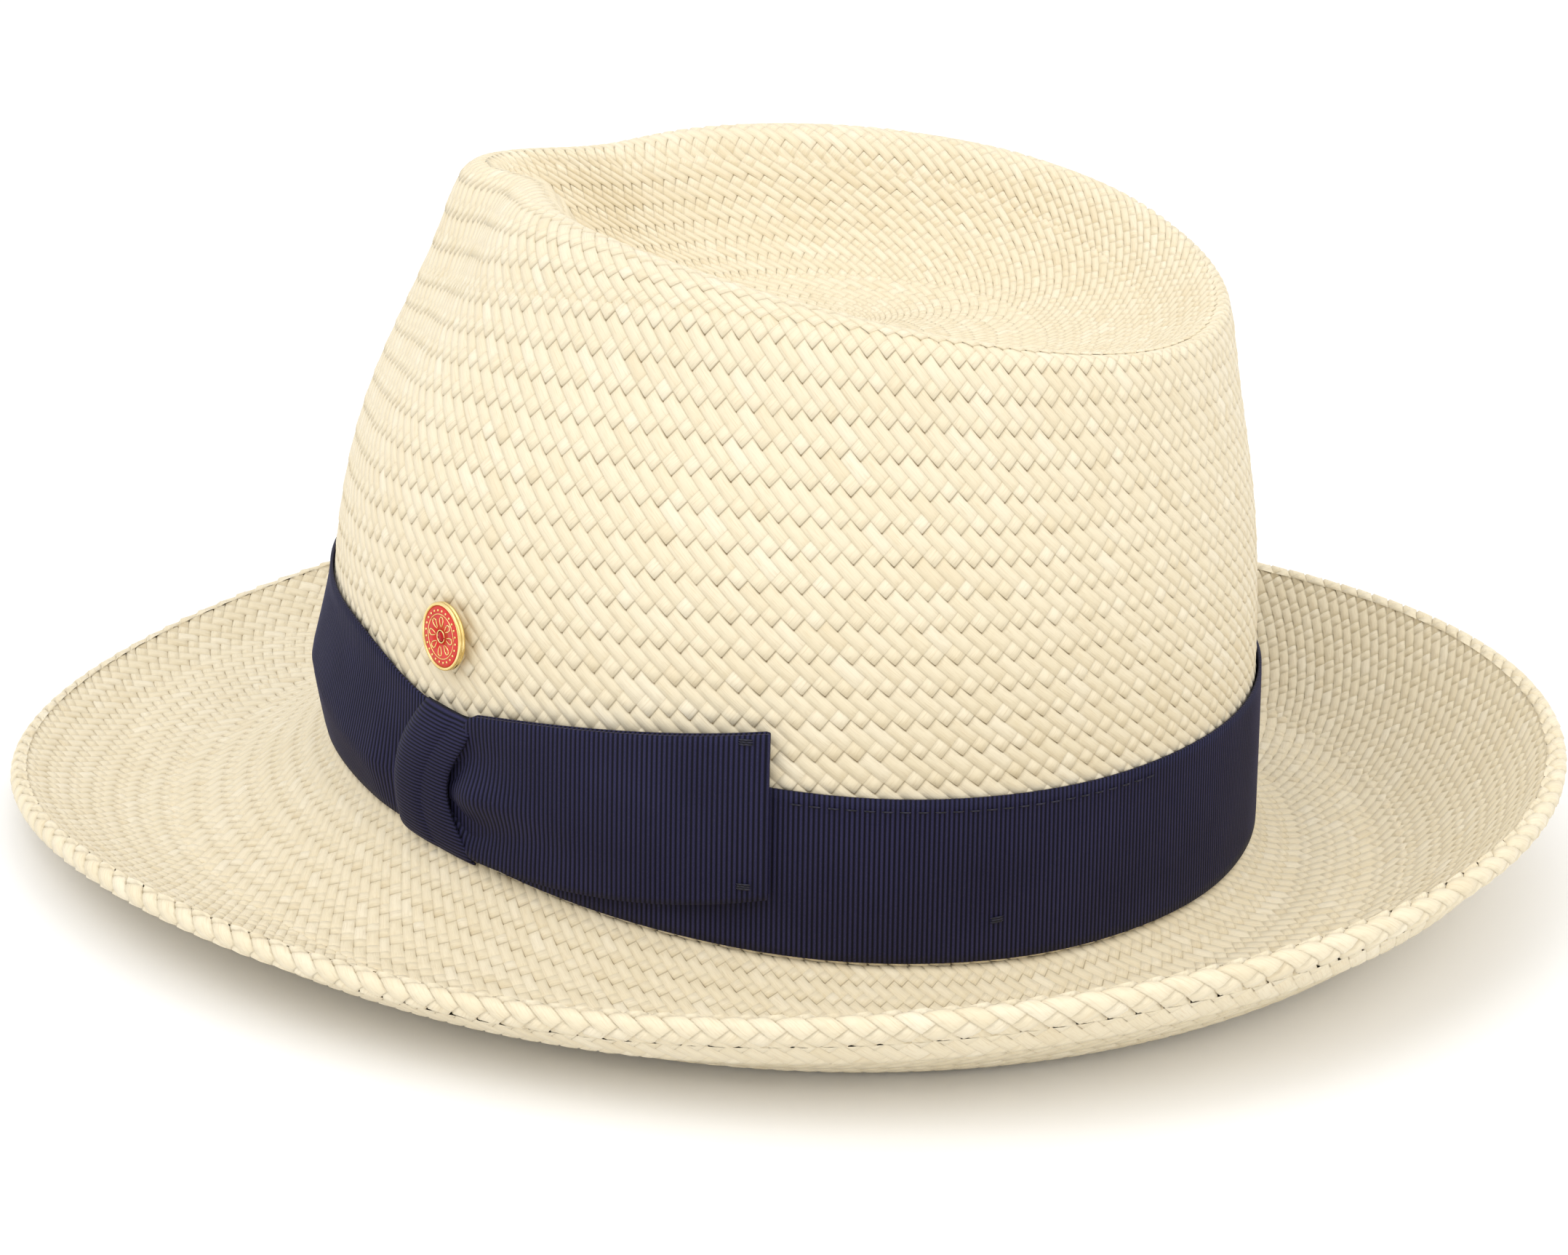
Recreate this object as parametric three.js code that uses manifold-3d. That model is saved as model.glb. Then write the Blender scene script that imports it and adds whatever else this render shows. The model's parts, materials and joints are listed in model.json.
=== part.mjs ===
// A woven-straw fedora: body with teardrop crown and dished brim, ribbon band and bow,
// a pinned badge with its clutch, and the sweatband inside. Millimetres, +Z up, front = -Y,
// the wearer's left = +X. The hat stands on its brim on the plane z = 0.
import * as THREE from 'three';
import { mergeVertices } from 'three/addons/utils/BufferGeometryUtils.js';
import Module from 'manifold-3d';

const wasm = await Module();
wasm.setup();

// ---------------------------------------------------------------- driving dimensions
const HEAD_HALF_LENGTH = 103;     // outside of the straw at the brim break, along Y
const HEAD_HALF_WIDTH = 90.5;     // the same, along X
const STRAW = 1.4;                // thickness of the woven straw
const BREAK_HEIGHT = 15;          // mean height of the brim break above the table
const BREAK_FILLET = 2;           // radius of the bend between brim and crown

const CREST_HEIGHT = 133.7;       // crest above the table, mean
const CREST_HALF_LENGTH = 84;
const CREST_HALF_WIDTH = 61.8;
const CREST_BACK_SHIFT = 9.8;     // the crest oval sits behind the head oval's centre
const CREST_NARROWING = 0.46;     // the teardrop's point, at the front
const PINCH_ANGLE = 32;           // where the two front dents lie, in degrees off the front
const PINCH_SPREAD = 18.7;
const PINCH_DEPTH = 10.2;
const DENT_DEPTH = 24;            // floor of the teardrop dent under the crest
const DENT_CENTRE_Y = 16;

const BRIM_WIDTH = 59;            // level reach from the break to the rolled edge, mean
const EDGE_ROLL_RADIUS = 2.2;     // the brim's edge, turned under round the wire
const HEM_WIDTH = 9;              // how far the turned edge runs back under the brim
const HEM_SLIT = 0.3;
const HEM_STEPS = [0, 2, 4, HEM_WIDTH]; // distances back from the edge
const HEM_PRESSED_BY = 4;         // where the turned edge has closed up to the brim
const WIRE_RADIUS = 0.5;

const RIBBON_WIDTH = 35.5;
const RIBBON_THICKNESS = 0.6;
const RIBBON_GAP = 0.5;           // between the straw and the back of the ribbon
const RIBBON_START = 1;           // bottom edge above the break
const KNOT_ANGLE = 70.5;          // the bow's knot, in degrees from the front
const KNOT_SQUEEZE = 6;           // how much the knot draws the band's top edge down
const LOOP_END_ANGLE = 113;
const GAP = 0.35;                 // clearance between pieces that lie on each other

const BADGE_ANGLE = 72;
const BADGE_HEIGHT = 46.5;
const BADGE_RADIUS = 7;
const BADGE_LEAN = 8;             // degrees: the pin went in leaning a little to the back
const POST_RADIUS = 0.6;
const POST_REACH = 9.5;           // inwards, from the outside of the straw

const SWEATBAND_HEIGHT = 34;
const SWEATBAND_THICKNESS = 0.9;
const SWEATBAND_GAP = 0.5;

const ORIGIN_SHIFT_Y = 4.54;      // puts the origin under the middle of the whole hat
const AROUND = 60;                // facets round the hat
const RAD = Math.PI / 180;

// ---------------------------------------------------------------- small helpers
const vec = (x, y, z) => new THREE.Vector3(x, y, z);
const along = (p, q, t) => p.clone().lerp(q, t);
const bump = (x, centre, spread) => Math.exp(-(((x - centre) / spread) ** 2));
const smooth = (t) => t * t * (3 - 2 * t);
const clamp01 = (t) => Math.min(1, Math.max(0, t));
// cosine series: c[0] + c[1] cos a + c[2] cos 2a + ...
const series = (c, a) => c.reduce((sum, value, k) => sum + value * Math.cos(k * a * RAD), 0);

// ---------------------------------------------------------------- shape of the hat
const breakHeight = (a) => BREAK_HEIGHT + series([0, 8.3, -1, -1.5], a);
const edgeHeight = (a) => BREAK_HEIGHT + series([5.8, -10.8, -0.4, -2.3, -1.2], a);
const brimWidth = (a) => series([BRIM_WIDTH, 5, 8.5], a);
const brimSag = (a) => series([13.7, 2.4], a);
const crestHeight = (a) => CREST_HEIGHT + series([0, 7.1, -4.1], a);

function breakPoint(a) {
  return vec(HEAD_HALF_WIDTH * Math.sin(a * RAD), -HEAD_HALF_LENGTH * Math.cos(a * RAD), breakHeight(a));
}

function outward(a) {
  const ahead = breakPoint(a + 0.5);
  const behind = breakPoint(a - 0.5);
  return vec(ahead.y - behind.y, behind.x - ahead.x, 0).normalize();
}

function crestPoint(a) {
  const front = (1 + Math.cos(a * RAD)) / 2;
  const x = CREST_HALF_WIDTH * Math.sin(a * RAD) * (1 - CREST_NARROWING * front ** 2);
  return vec(x, CREST_BACK_SHIFT - CREST_HALF_LENGTH * Math.cos(a * RAD), crestHeight(a));
}

const dentCentre = vec(0, DENT_CENTRE_Y, crestHeight(90) - DENT_DEPTH);

// The crown's meridian at angle a is a B-spline. Each row places one control point:
// share of the way in from break to crest, share of the way up, share of the front dent.
const SIDE_ROWS = [
  [0, 0, 0], [0, 0, 0], [0, 0, 0],
  [0.03, 0.3, 0], [0.1, 0.6, 0.35], [0.62, 0.86, 0.8], [0.78, 1.02, 1], [1.08, 1.03, 1],
];
const SIDE_END = 0.45;            // spline parameter by which the side has reached the crest
// share of the way from crest to dent centre, drop as a share of the dent's depth
const DENT_ROWS = [
  [0.15, 0.3, 0.7], [0.3, 0.72, 0.3], [0.55, 1, 0], [0.8, 1, 0], [1, 1, 0], [1, 1, 0], [1, 1, 0],
];

function meridian(a) {
  const base = breakPoint(a);
  const crest = crestPoint(a);
  const inwardRun = vec(crest.x - base.x, crest.y - base.y, 0);
  const rise = crest.z - base.z;
  const off = ((a + 540) % 360) - 180;
  const dents = bump(off, PINCH_ANGLE, PINCH_SPREAD) + bump(off, -PINCH_ANGLE, PINCH_SPREAD);
  const pinch = outward(a).multiplyScalar(-PINCH_DEPTH * dents);
  const side = SIDE_ROWS.map(([run, up, dent]) => base.clone()
    .addScaledVector(inwardRun, run).add(vec(0, 0, rise * up)).addScaledVector(pinch, dent));
  const dentRise = crest.z - dentCentre.z;
  const inside = DENT_ROWS.map(([run, drop, dent]) => {
    const p = along(crest, dentCentre, run).addScaledVector(pinch, dent);
    return p.setZ(crest.z - dentRise * drop);
  });
  return side.concat(inside);
}

function splinePoint(rows, s) {
  const spans = rows.length - 3;
  const u = Math.min(s * spans, spans - 1e-9);
  const i = Math.floor(u);
  const f = u - i;
  const weights = [
    (1 - f) ** 3, 3 * f ** 3 - 6 * f ** 2 + 4, -3 * f ** 3 + 3 * f ** 2 + 3 * f + 1, f ** 3,
  ];
  const p = vec(0, 0, 0);
  weights.forEach((w, k) => p.addScaledVector(rows[i + k], w / 6));
  return p;
}

const meridians = new Map();
function crown(a, s) {
  const key = a.toFixed(3);
  if (!meridians.has(key)) meridians.set(key, meridian(a));
  return splinePoint(meridians.get(key), s);
}

function crownNormal(a, s) {
  if (s > 0.995) return vec(0, 0, 1);
  const acrossRing = crown(a + 1, s).sub(crown(a - 1, s));
  const upMeridian = crown(a, Math.min(1, s + 0.01)).sub(crown(a, Math.max(0, s - 0.01)));
  return acrossRing.cross(upMeridian).normalize();
}

// spline parameter at which the crown's side is h above the break
function sideParameter(a, h) {
  let low = 0;
  let high = SIDE_END;
  const goal = breakHeight(a) + h;
  for (let i = 0; i < 30; i += 1) {
    const middle = (low + high) / 2;
    if (crown(a, middle).z < goal) low = middle;
    else high = middle;
  }
  return (low + high) / 2;
}

// a point standing off the outside of the crown's side, h above the break
function onSide(a, h, off) {
  const s = sideParameter(a, h);
  return crown(a, s).addScaledVector(crownNormal(a, s), off);
}

// the brim's top surface; r runs from 0 at the break to 1 at the edge
function brim(a, r) {
  const p = breakPoint(a).addScaledVector(outward(a), r * brimWidth(a));
  const rise = (edgeHeight(a) - breakHeight(a)) * r ** 1.86;
  p.z += rise - brimSag(a) * 4 * r * (1 - r);
  p.z = Math.max(p.z, STRAW);
  return p;
}

function brimNormal(a, r) {
  const ahead = brim(a, Math.min(1, r + 0.01));
  const behind = brim(a, Math.max(0, r - 0.01));
  const slope = ahead.sub(behind);
  const run = slope.dot(outward(a));
  return outward(a).multiplyScalar(-slope.z).add(vec(0, 0, run)).normalize();
}

// ---------------------------------------------------------------- mesh builders
function meshGeometry(points, faces) {
  const geometry = new THREE.BufferGeometry();
  const numbers = points.flatMap((p) => [p.x, p.y, p.z]);
  geometry.setAttribute('position', new THREE.Float32BufferAttribute(numbers, 3));
  geometry.setIndex(faces);
  return geometry;
}

// the quads between loops of equal length; closed joins the last loop to the first
function wallFaces(loops, closed) {
  const n = loops[0].length;
  const spans = closed ? loops.length : loops.length - 1;
  const faces = [];
  for (let i = 0; i < spans; i += 1) {
    const here = i * n;
    const next = ((i + 1) % loops.length) * n;
    for (let k = 0; k < n; k += 1) {
      const after = (k + 1) % n;
      faces.push(here + k, here + after, next + after, here + k, next + after, next + k);
    }
  }
  return faces;
}

// a solid through loops of equal length, with a fan at each end unless it is closed
function loft(loops, closed = false) {
  const n = loops[0].length;
  const faces = wallFaces(loops, closed);
  const last = (loops.length - 1) * n;
  for (let k = 1; k < n - 1 && !closed; k += 1) {
    faces.push(0, k + 1, k, last, last + k, last + k + 1);
  }
  return orient(meshGeometry(loops.flat(), faces));
}

function signedVolume(geometry) {
  const p = geometry.getAttribute('position');
  const index = geometry.index.array;
  const corner = (i) => vec(p.getX(index[i]), p.getY(index[i]), p.getZ(index[i]));
  let volume = 0;
  for (let i = 0; i < index.length; i += 3) {
    volume += corner(i).dot(corner(i + 1).cross(corner(i + 2)));
  }
  return volume;
}

function orient(geometry) {
  if (signedVolume(geometry) < 0) geometry.setIndex(Array.from(geometry.index.array).reverse());
  return geometry;
}

// a grid of points, outer[i][k] over inner[i][k], as one thick sheet with its edges closed;
// its two end caps are rows of quads between the skins, so that a curved end keeps its shape
function sheet(outer, inner, closed = false) {
  const loops = outer.map((row, i) => row.concat([...inner[i]].reverse()));
  const rows = outer[0].length;
  const faces = wallFaces(loops, closed);
  const last = (loops.length - 1) * rows * 2;
  for (let k = 0; k < rows - 1 && !closed; k += 1) {
    const [a, b, c, d] = [k, k + 1, 2 * rows - 2 - k, 2 * rows - 1 - k];
    faces.push(a, c, b, a, d, c);
    faces.push(last + a, last + b, last + c, last + a, last + c, last + d);
  }
  return orient(meshGeometry(loops.flat(), faces));
}

// a round rod along a route, with an optional closed ring
function rod(route, radius, closed = false, sides = 8) {
  const count = route.length;
  const loops = route.map((p, i) => {
    const ahead = route[closed ? (i + 1) % count : Math.min(count - 1, i + 1)];
    const behind = route[closed ? (i - 1 + count) % count : Math.max(0, i - 1)];
    const tangent = ahead.clone().sub(behind).normalize();
    const helper = Math.abs(tangent.z) > 0.8 ? vec(1, 0, 0) : vec(0, 0, 1);
    const u = helper.clone().cross(tangent).normalize();
    const v = tangent.clone().cross(u);
    return Array.from({ length: sides }, (_, k) => {
      const turn = (2 * Math.PI * k) / sides;
      return p.clone()
        .addScaledVector(u, radius * Math.cos(turn))
        .addScaledVector(v, radius * Math.sin(turn));
    });
  });
  return loft(loops, closed);
}

function toSolid(geometry) {
  const bare = new THREE.BufferGeometry();
  bare.setAttribute('position', geometry.getAttribute('position').clone());
  if (geometry.index) bare.setIndex(geometry.index.clone());
  const merged = mergeVertices(bare, 1e-4);
  return new wasm.Manifold(new wasm.Mesh({
    numProp: 3,
    vertProperties: new Float32Array(merged.getAttribute('position').array),
    triVerts: new Uint32Array(merged.index.array),
  }));
}

function fromSolid(solid) {
  const mesh = solid.getMesh();
  const geometry = new THREE.BufferGeometry();
  const numbers = new Float32Array(mesh.vertProperties);
  geometry.setAttribute('position', new THREE.BufferAttribute(numbers, 3));
  geometry.setIndex(new THREE.BufferAttribute(new Uint32Array(mesh.triVerts), 1));
  return geometry;
}

// ---------------------------------------------------------------- materials
function finish(color, roughness, metalness = 0) {
  return new THREE.MeshStandardMaterial({ color, roughness, metalness });
}
const STRAW_FINISH = finish(0xeddbbb, 0.75);
const NAVY_RIBBON = finish(0x14121f, 0.6);
const NAVY_THREAD = finish(0x0c0b14, 0.8);
const GOLD = finish(0xd9a93f, 0.25, 1);
const RED_ENAMEL = finish(0xc2262e, 0.15);
const RED_STONE = finish(0x9c0f16, 0.05);
const STEEL = finish(0x8d8f92, 0.35, 1);
const SWEAT_CLOTH = finish(0xe6dfcf, 0.85);
const PAPER = finish(0xf3f1ea, 0.7);

const hat = new THREE.Group();
hat.position.y = ORIGIN_SHIFT_Y;
function add(name, geometry, material) {
  const mesh = new THREE.Mesh(geometry, material);
  mesh.name = name;
  hat.add(mesh);
}

// ---------------------------------------------------------------- straw body
const CROWN_STEPS = 18;
const BRIM_STEPS = 9;
const ROLL_STEPS = 3;

// the roll's centre and its two axes, out along the brim and up across it, at the edge
function edgeFrame(a) {
  const up = brimNormal(a, 1);
  const out = outward(a).multiplyScalar(up.z).add(vec(0, 0, -up.dot(outward(a))));
  const centre = brim(a, 1).addScaledVector(up, -EDGE_ROLL_RADIUS);
  return { centre, out, up };
}

function rollArc(a, radius, fromTop) {
  const { centre, out, up } = edgeFrame(a);
  return Array.from({ length: ROLL_STEPS }, (_, i) => {
    const t = (i + 1) / (ROLL_STEPS + 1);
    const turn = Math.PI * (fromTop ? 0.5 - t : t - 0.5);
    return centre.clone()
      .addScaledVector(out, radius * Math.cos(turn))
      .addScaledVector(up, radius * Math.sin(turn));
  });
}

// how deep a face of the turned hem lies under the brim's top, d back from the edge
function hemDepth(d, outerFace) {
  const pressed = 2 * STRAW + HEM_SLIT;
  const full = 2 * EDGE_ROLL_RADIUS;
  const depth = full + (pressed - full) * smooth(clamp01(d / HEM_PRESSED_BY));
  return outerFace ? depth : depth - STRAW;
}

function hemFace(a, outerFace) {
  return HEM_STEPS.map((d) => {
    const r = 1 - d / brimWidth(a);
    return brim(a, r).addScaledVector(brimNormal(a, r), -hemDepth(d, outerFace));
  });
}

function bodyMeridian(a) {
  const start = sideParameter(a, BREAK_FILLET);
  const crownStep = (i) => 1 - ((1 - start) * i) / CROWN_STEPS;
  const brimStep = (i) => {
    const first = BREAK_FILLET / brimWidth(a);
    return first + ((1 - first) * i) / BRIM_STEPS;
  };
  const steps = (n, from = 0) => Array.from({ length: n - from }, (_, i) => i + from);
  const bend = (top, bottom, corner) => [1 / 3, 2 / 3]
    .map((t) => along(along(top, corner, t), along(corner, bottom, t), t));

  const crownOuter = steps(CROWN_STEPS + 1, 1).map((i) => crown(a, crownStep(i)));
  const brimTop = steps(BRIM_STEPS + 1).map((i) => brim(a, brimStep(i)));
  const outerBend = bend(crownOuter[crownOuter.length - 1], brimTop[0], breakPoint(a));

  const under = (r) => brim(a, r).addScaledVector(brimNormal(a, r), -STRAW);
  const brimUnder = steps(BRIM_STEPS + 1).map((i) => under(brimStep(i)));
  const crownInner = crownOuter.map((p, i) => p.clone()
    .addScaledVector(crownNormal(a, crownStep(i + 1)), -STRAW));
  const innerCorner = breakPoint(a).addScaledVector(outward(a), -STRAW).add(vec(0, 0, -STRAW));
  const innerBend = bend(crownInner[crownInner.length - 1], brimUnder[0], innerCorner);

  return [
    ...crownOuter, ...outerBend, ...brimTop,
    ...rollArc(a, EDGE_ROLL_RADIUS, true), ...hemFace(a, true),
    ...hemFace(a, false).reverse(), ...rollArc(a, EDGE_ROLL_RADIUS - STRAW, false),
    ...brimUnder.reverse(), ...innerBend.reverse(), ...crownInner.reverse(),
  ].map((p) => p.setZ(Math.max(p.z, 0)));
}

function bodyGeometry() {
  const loops = Array.from({ length: AROUND }, (_, i) => bodyMeridian((360 * i) / AROUND));
  const n = loops[0].length;
  const points = loops.flat();
  const faces = [];
  const top = points.push(crown(0, 1)) - 1;
  const bottom = points.push(crown(0, 1).add(vec(0, 0, -STRAW))) - 1;
  for (let i = 0; i < AROUND; i += 1) {
    const here = i * n;
    const next = ((i + 1) % AROUND) * n;
    faces.push(top, here, next);
    for (let k = 0; k < n - 1; k += 1) {
      faces.push(here + k, here + k + 1, next + k + 1);
      faces.push(here + k, next + k + 1, next + k);
    }
    faces.push(bottom, next + n - 1, here + n - 1);
  }
  return orient(meshGeometry(points, faces));
}

// ---------------------------------------------------------------- badge position
const badgeSeat = onSide(BADGE_ANGLE, BADGE_HEIGHT, 0);
const badgeAxis = crownNormal(BADGE_ANGLE, sideParameter(BADGE_ANGLE, BADGE_HEIGHT))
  .applyAxisAngle(vec(0, 0, 1), -BADGE_LEAN * RAD);
const badgeTurn = new THREE.Quaternion().setFromUnitVectors(vec(0, 0, 1), badgeAxis);

// a turned piece whose own Z axis lies on the badge's axis, z = 0 at the outside of the straw
function turned(profile, sides) {
  const geometry = new THREE.LatheGeometry(profile.map(([r, z]) => new THREE.Vector2(r, z)), sides);
  geometry.rotateX(Math.PI / 2);
  geometry.deleteAttribute('normal');
  geometry.deleteAttribute('uv');
  const merged = mergeVertices(geometry, 1e-4);
  merged.applyQuaternion(badgeTurn);
  merged.translate(badgeSeat.x, badgeSeat.y, badgeSeat.z);
  return orient(merged);
}

// ---------------------------------------------------------------- straw body and its wire
const POST_HOLE_RADIUS = POST_RADIUS + 0.4;
const POST_HOLE_REACH = 6;        // past both faces of the straw
const postHole = toSolid(turned([
  [0, -POST_HOLE_REACH], [POST_HOLE_RADIUS, -POST_HOLE_REACH],
  [POST_HOLE_RADIUS, POST_HOLE_REACH], [0, POST_HOLE_REACH],
], 12));
add('straw_body', fromSolid(toSolid(bodyGeometry()).subtract(postHole)), STRAW_FINISH);

const ring = (count, make) => Array.from({ length: count }, (_, i) => make((360 * i) / count));
add('brim_wire', rod(ring(AROUND, (a) => edgeFrame(a).centre), WIRE_RADIUS, true, 6), STEEL);

// ---------------------------------------------------------------- hat band and its stitching
const KNOT_SQUEEZE_SPREAD = 13;   // degrees
const squeeze = (a) => KNOT_SQUEEZE * bump(a, KNOT_ANGLE, KNOT_SQUEEZE_SPREAD);
const bandTop = (a) => RIBBON_START + RIBBON_WIDTH - squeeze(a);
const bandRow = (a, off) => [0, 0.2, 0.5, 0.8, 1]
  .map((t) => onSide(a, RIBBON_START + t * (bandTop(a) - RIBBON_START), off));
const bandBack = RIBBON_GAP;
const bandFace = RIBBON_GAP + RIBBON_THICKNESS;
const bandSkin = (off) => ring(AROUND, (a) => bandRow(a, off));
add('hat_band', sheet(bandSkin(bandFace), bandSkin(bandBack), true), NAVY_RIBBON);

const THREAD_RADIUS = 0.2;
const THREAD_BELOW_TOP = 2.5;
const stitchOff = bandFace + GAP + THREAD_RADIUS;
const THREAD_FROM = LOOP_END_ANGLE + 2.5;
const THREAD_TO = 164;
const THREAD_STEPS = 16;
const threadRoute = Array.from({ length: THREAD_STEPS + 1 }, (_, i) => {
  const a = THREAD_FROM + ((THREAD_TO - THREAD_FROM) * i) / THREAD_STEPS;
  return onSide(a, bandTop(a) - THREAD_BELOW_TOP, stitchOff);
});
add('band_thread', rod(threadRoute, THREAD_RADIUS, false, 6), NAVY_THREAD);

// short stitches that tack the band to the straw: name, angle, height
const TACK_HALF_LENGTH = 1.5;
const TACK_RADIUS = 0.35;
function tack(name, a, h, off) {
  const reach = TACK_HALF_LENGTH / HEAD_HALF_LENGTH / RAD;
  const route = [-1, 0, 1].map((side) => onSide(a + side * reach, h, off));
  add(name, rod(route, TACK_RADIUS, false, 6), NAVY_THREAD);
}
const BAND_TACKS = [['band_tack_left', 140, 10], ['band_tack_right', 215, 10], ['band_tack_front', 330, 10]];
const tackOff = bandFace + GAP + TACK_RADIUS;
BAND_TACKS.forEach(([name, a, h]) => tack(name, a, h, tackOff));

// ---------------------------------------------------------------- bow
// The loop is one length of ribbon doubled back at its far end. Seen along u, 0 at the knot
// and 1 at the fold, it widens from the knot's waist to the ribbon's full width and climbs.
const LOOP_START_ANGLE = 73;
const LOOP_STEPS = 12;
const LOOP_FOLD = 0.35;           // half the slit between the loop's two layers
const LOOP_MIDDLE_HEIGHT = 30;    // of the fold
const LOOP_BACK = bandFace + GAP;
const loopAngle = (u) => LOOP_START_ANGLE + (LOOP_END_ANGLE - LOOP_START_ANGLE) * u;
const spread = (u) => smooth(clamp01((u - 0.1) / 0.12));
const blendTo = (from, to, t) => from + (to - from) * t;
const loopLow = (u) => blendTo(7, 3 + 10 * u ** 1.4, spread(u));
const loopHigh = (u) => blendTo(24, 30 + 18 * u ** 0.9, spread(u));
const loopLift = (u) => 0.4 + 0.8 * smooth(clamp01(u * 1.2));
const layerRow = (u, off) => [0, 0.25, 0.5, 0.75, 1]
  .map((t) => onSide(loopAngle(u), loopLow(u) + t * (loopHigh(u) - loopLow(u)), off));

function loopSection(u) {
  const back = LOOP_BACK + loopLift(u);
  return {
    backInner: back,
    backOuter: back + RIBBON_THICKNESS,
    frontInner: back + RIBBON_THICKNESS + 2 * LOOP_FOLD,
    frontOuter: back + 2 * RIBBON_THICKNESS + 2 * LOOP_FOLD,
  };
}

function bowLoop() {
  const stations = Array.from({ length: LOOP_STEPS + 1 }, (_, i) => i / LOOP_STEPS);
  const layer = (outer, inner) => (u) => {
    const section = loopSection(u);
    return [layerRow(u, section[outer]), layerRow(u, section[inner])];
  };
  const outbound = stations.map(layer('frontOuter', 'frontInner'));
  const inbound = [...stations].reverse().map(layer('backInner', 'backOuter'));
  const end = loopSection(1);
  const middle = (end.backOuter + end.frontInner) / 2;
  const ahead = (degrees) => onSide(LOOP_END_ANGLE + degrees, LOOP_MIDDLE_HEIGHT, middle);
  const fold = [45, 90, 135].map((turn) => {
    const shape = (radius) => {
      const reach = (radius * Math.sin(turn * RAD)) / HEAD_HALF_LENGTH / RAD;
      const onward = ahead(reach).sub(ahead(0));
      return layerRow(1, middle + radius * Math.cos(turn * RAD)).map((p) => p.add(onward));
    };
    return [shape(LOOP_FOLD + RIBBON_THICKNESS), shape(LOOP_FOLD)];
  });
  const path = [...outbound, ...fold, ...inbound];
  return sheet(path.map((pair) => pair[0]), path.map((pair) => pair[1]));
}
add('bow_loop', bowLoop(), NAVY_RIBBON);

// The knot is a short ribbon that crosses the loop's root and tucks its two ends against the band.
const KNOT_STEPS = 10;
const KNOT_WAIST = 6.5;           // half width at the middle
const KNOT_FLARE = 3;
const KNOT_TILT = 4;              // degrees from top to bottom
const KNOT_LOW = 0.4;
const KNOT_HIGH = 30.6;
const KNOT_LIFT = 4.2;
const KNOT_FULLNESS = 0.45;       // below 1: the knot rises fast from its two tucked ends
function knotRow(t, extra) {
  const h = KNOT_LOW + (KNOT_HIGH - KNOT_LOW) * t;
  const bulge = Math.sin(Math.PI * clamp01(t)) ** KNOT_FULLNESS;
  const off = bandFace + GAP + KNOT_LIFT * bulge + extra;
  const half = KNOT_WAIST + KNOT_FLARE * Math.abs(2 * t - 1) ** 2;
  const middle = KNOT_ANGLE + KNOT_TILT * (t - 0.5);
  const reach = half / HEAD_HALF_WIDTH / RAD;
  return [-1, -0.5, 0, 0.5, 1].map((side) => onSide(middle + side * reach, h, off));
}
const knotStations = Array.from({ length: KNOT_STEPS + 1 }, (_, i) => i / KNOT_STEPS);
const knotSkin = (extra) => knotStations.map((t) => knotRow(t, extra));
add('bow_knot', sheet(knotSkin(RIBBON_THICKNESS), knotSkin(0)), NAVY_RIBBON);

const loopTackOff = loopSection(1).frontOuter + GAP + TACK_RADIUS;
tack('bow_tack_top', LOOP_END_ANGLE - 2, loopHigh(1) - 2, loopTackOff);
tack('bow_tack_bottom', LOOP_END_ANGLE - 2, loopLow(1) + 2.5, loopTackOff);

// ---------------------------------------------------------------- badge, post and clutch
const BADGE_BACK = 1.4;           // the leaning disc just clears the straw
const BADGE_RIM = BADGE_BACK + 1.6;
const ENAMEL_FLOOR = BADGE_BACK + 0.9;
const RIM_WIDTH = 0.7;
const STONE_RADIUS = 1.1;
const wellRadius = BADGE_RADIUS - RIM_WIDTH;
add('badge_disc', turned([
  [0, -POST_REACH], [POST_RADIUS * 0.4, -POST_REACH], [POST_RADIUS, -POST_REACH + 0.9],
  [POST_RADIUS, BADGE_BACK], [BADGE_RADIUS - 0.3, BADGE_BACK], [BADGE_RADIUS, BADGE_BACK + 0.3],
  [BADGE_RADIUS, BADGE_RIM - 0.25], [BADGE_RADIUS - 0.25, BADGE_RIM], [wellRadius, BADGE_RIM],
  [wellRadius, ENAMEL_FLOOR], [0, ENAMEL_FLOOR],
], 32), GOLD);
const enamelTop = BADGE_RIM - 0.15;
add('badge_enamel', turned([
  [STONE_RADIUS + 0.3, ENAMEL_FLOOR + 0.05], [wellRadius - 0.05, ENAMEL_FLOOR + 0.05],
  [wellRadius - 0.05, enamelTop], [STONE_RADIUS + 0.3, enamelTop], [STONE_RADIUS + 0.3, ENAMEL_FLOOR + 0.05],
], 32), RED_ENAMEL);
add('badge_stone', turned([
  [0, ENAMEL_FLOOR + 0.05], [STONE_RADIUS, ENAMEL_FLOOR + 0.05], [STONE_RADIUS, enamelTop - 0.1],
  [STONE_RADIUS * 0.6, enamelTop + 0.35], [0, enamelTop + 0.35],
], 12), RED_STONE);

const CLUTCH_RADIUS = 4.5;
const CLUTCH_FACE = -(STRAW + 1.3); // clears the straw in spite of the badge's lean
const CLUTCH_END = CLUTCH_FACE - 4.4;
const clutchBore = POST_RADIUS + 0.08;
add('badge_clutch', turned([
  [clutchBore, CLUTCH_FACE], [CLUTCH_RADIUS, CLUTCH_FACE], [CLUTCH_RADIUS, CLUTCH_FACE - 0.9],
  [CLUTCH_RADIUS * 0.55, CLUTCH_FACE - 1.6], [CLUTCH_RADIUS * 0.45, CLUTCH_END],
  [clutchBore, CLUTCH_END], [clutchBore, CLUTCH_FACE],
], 24), GOLD);

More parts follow.
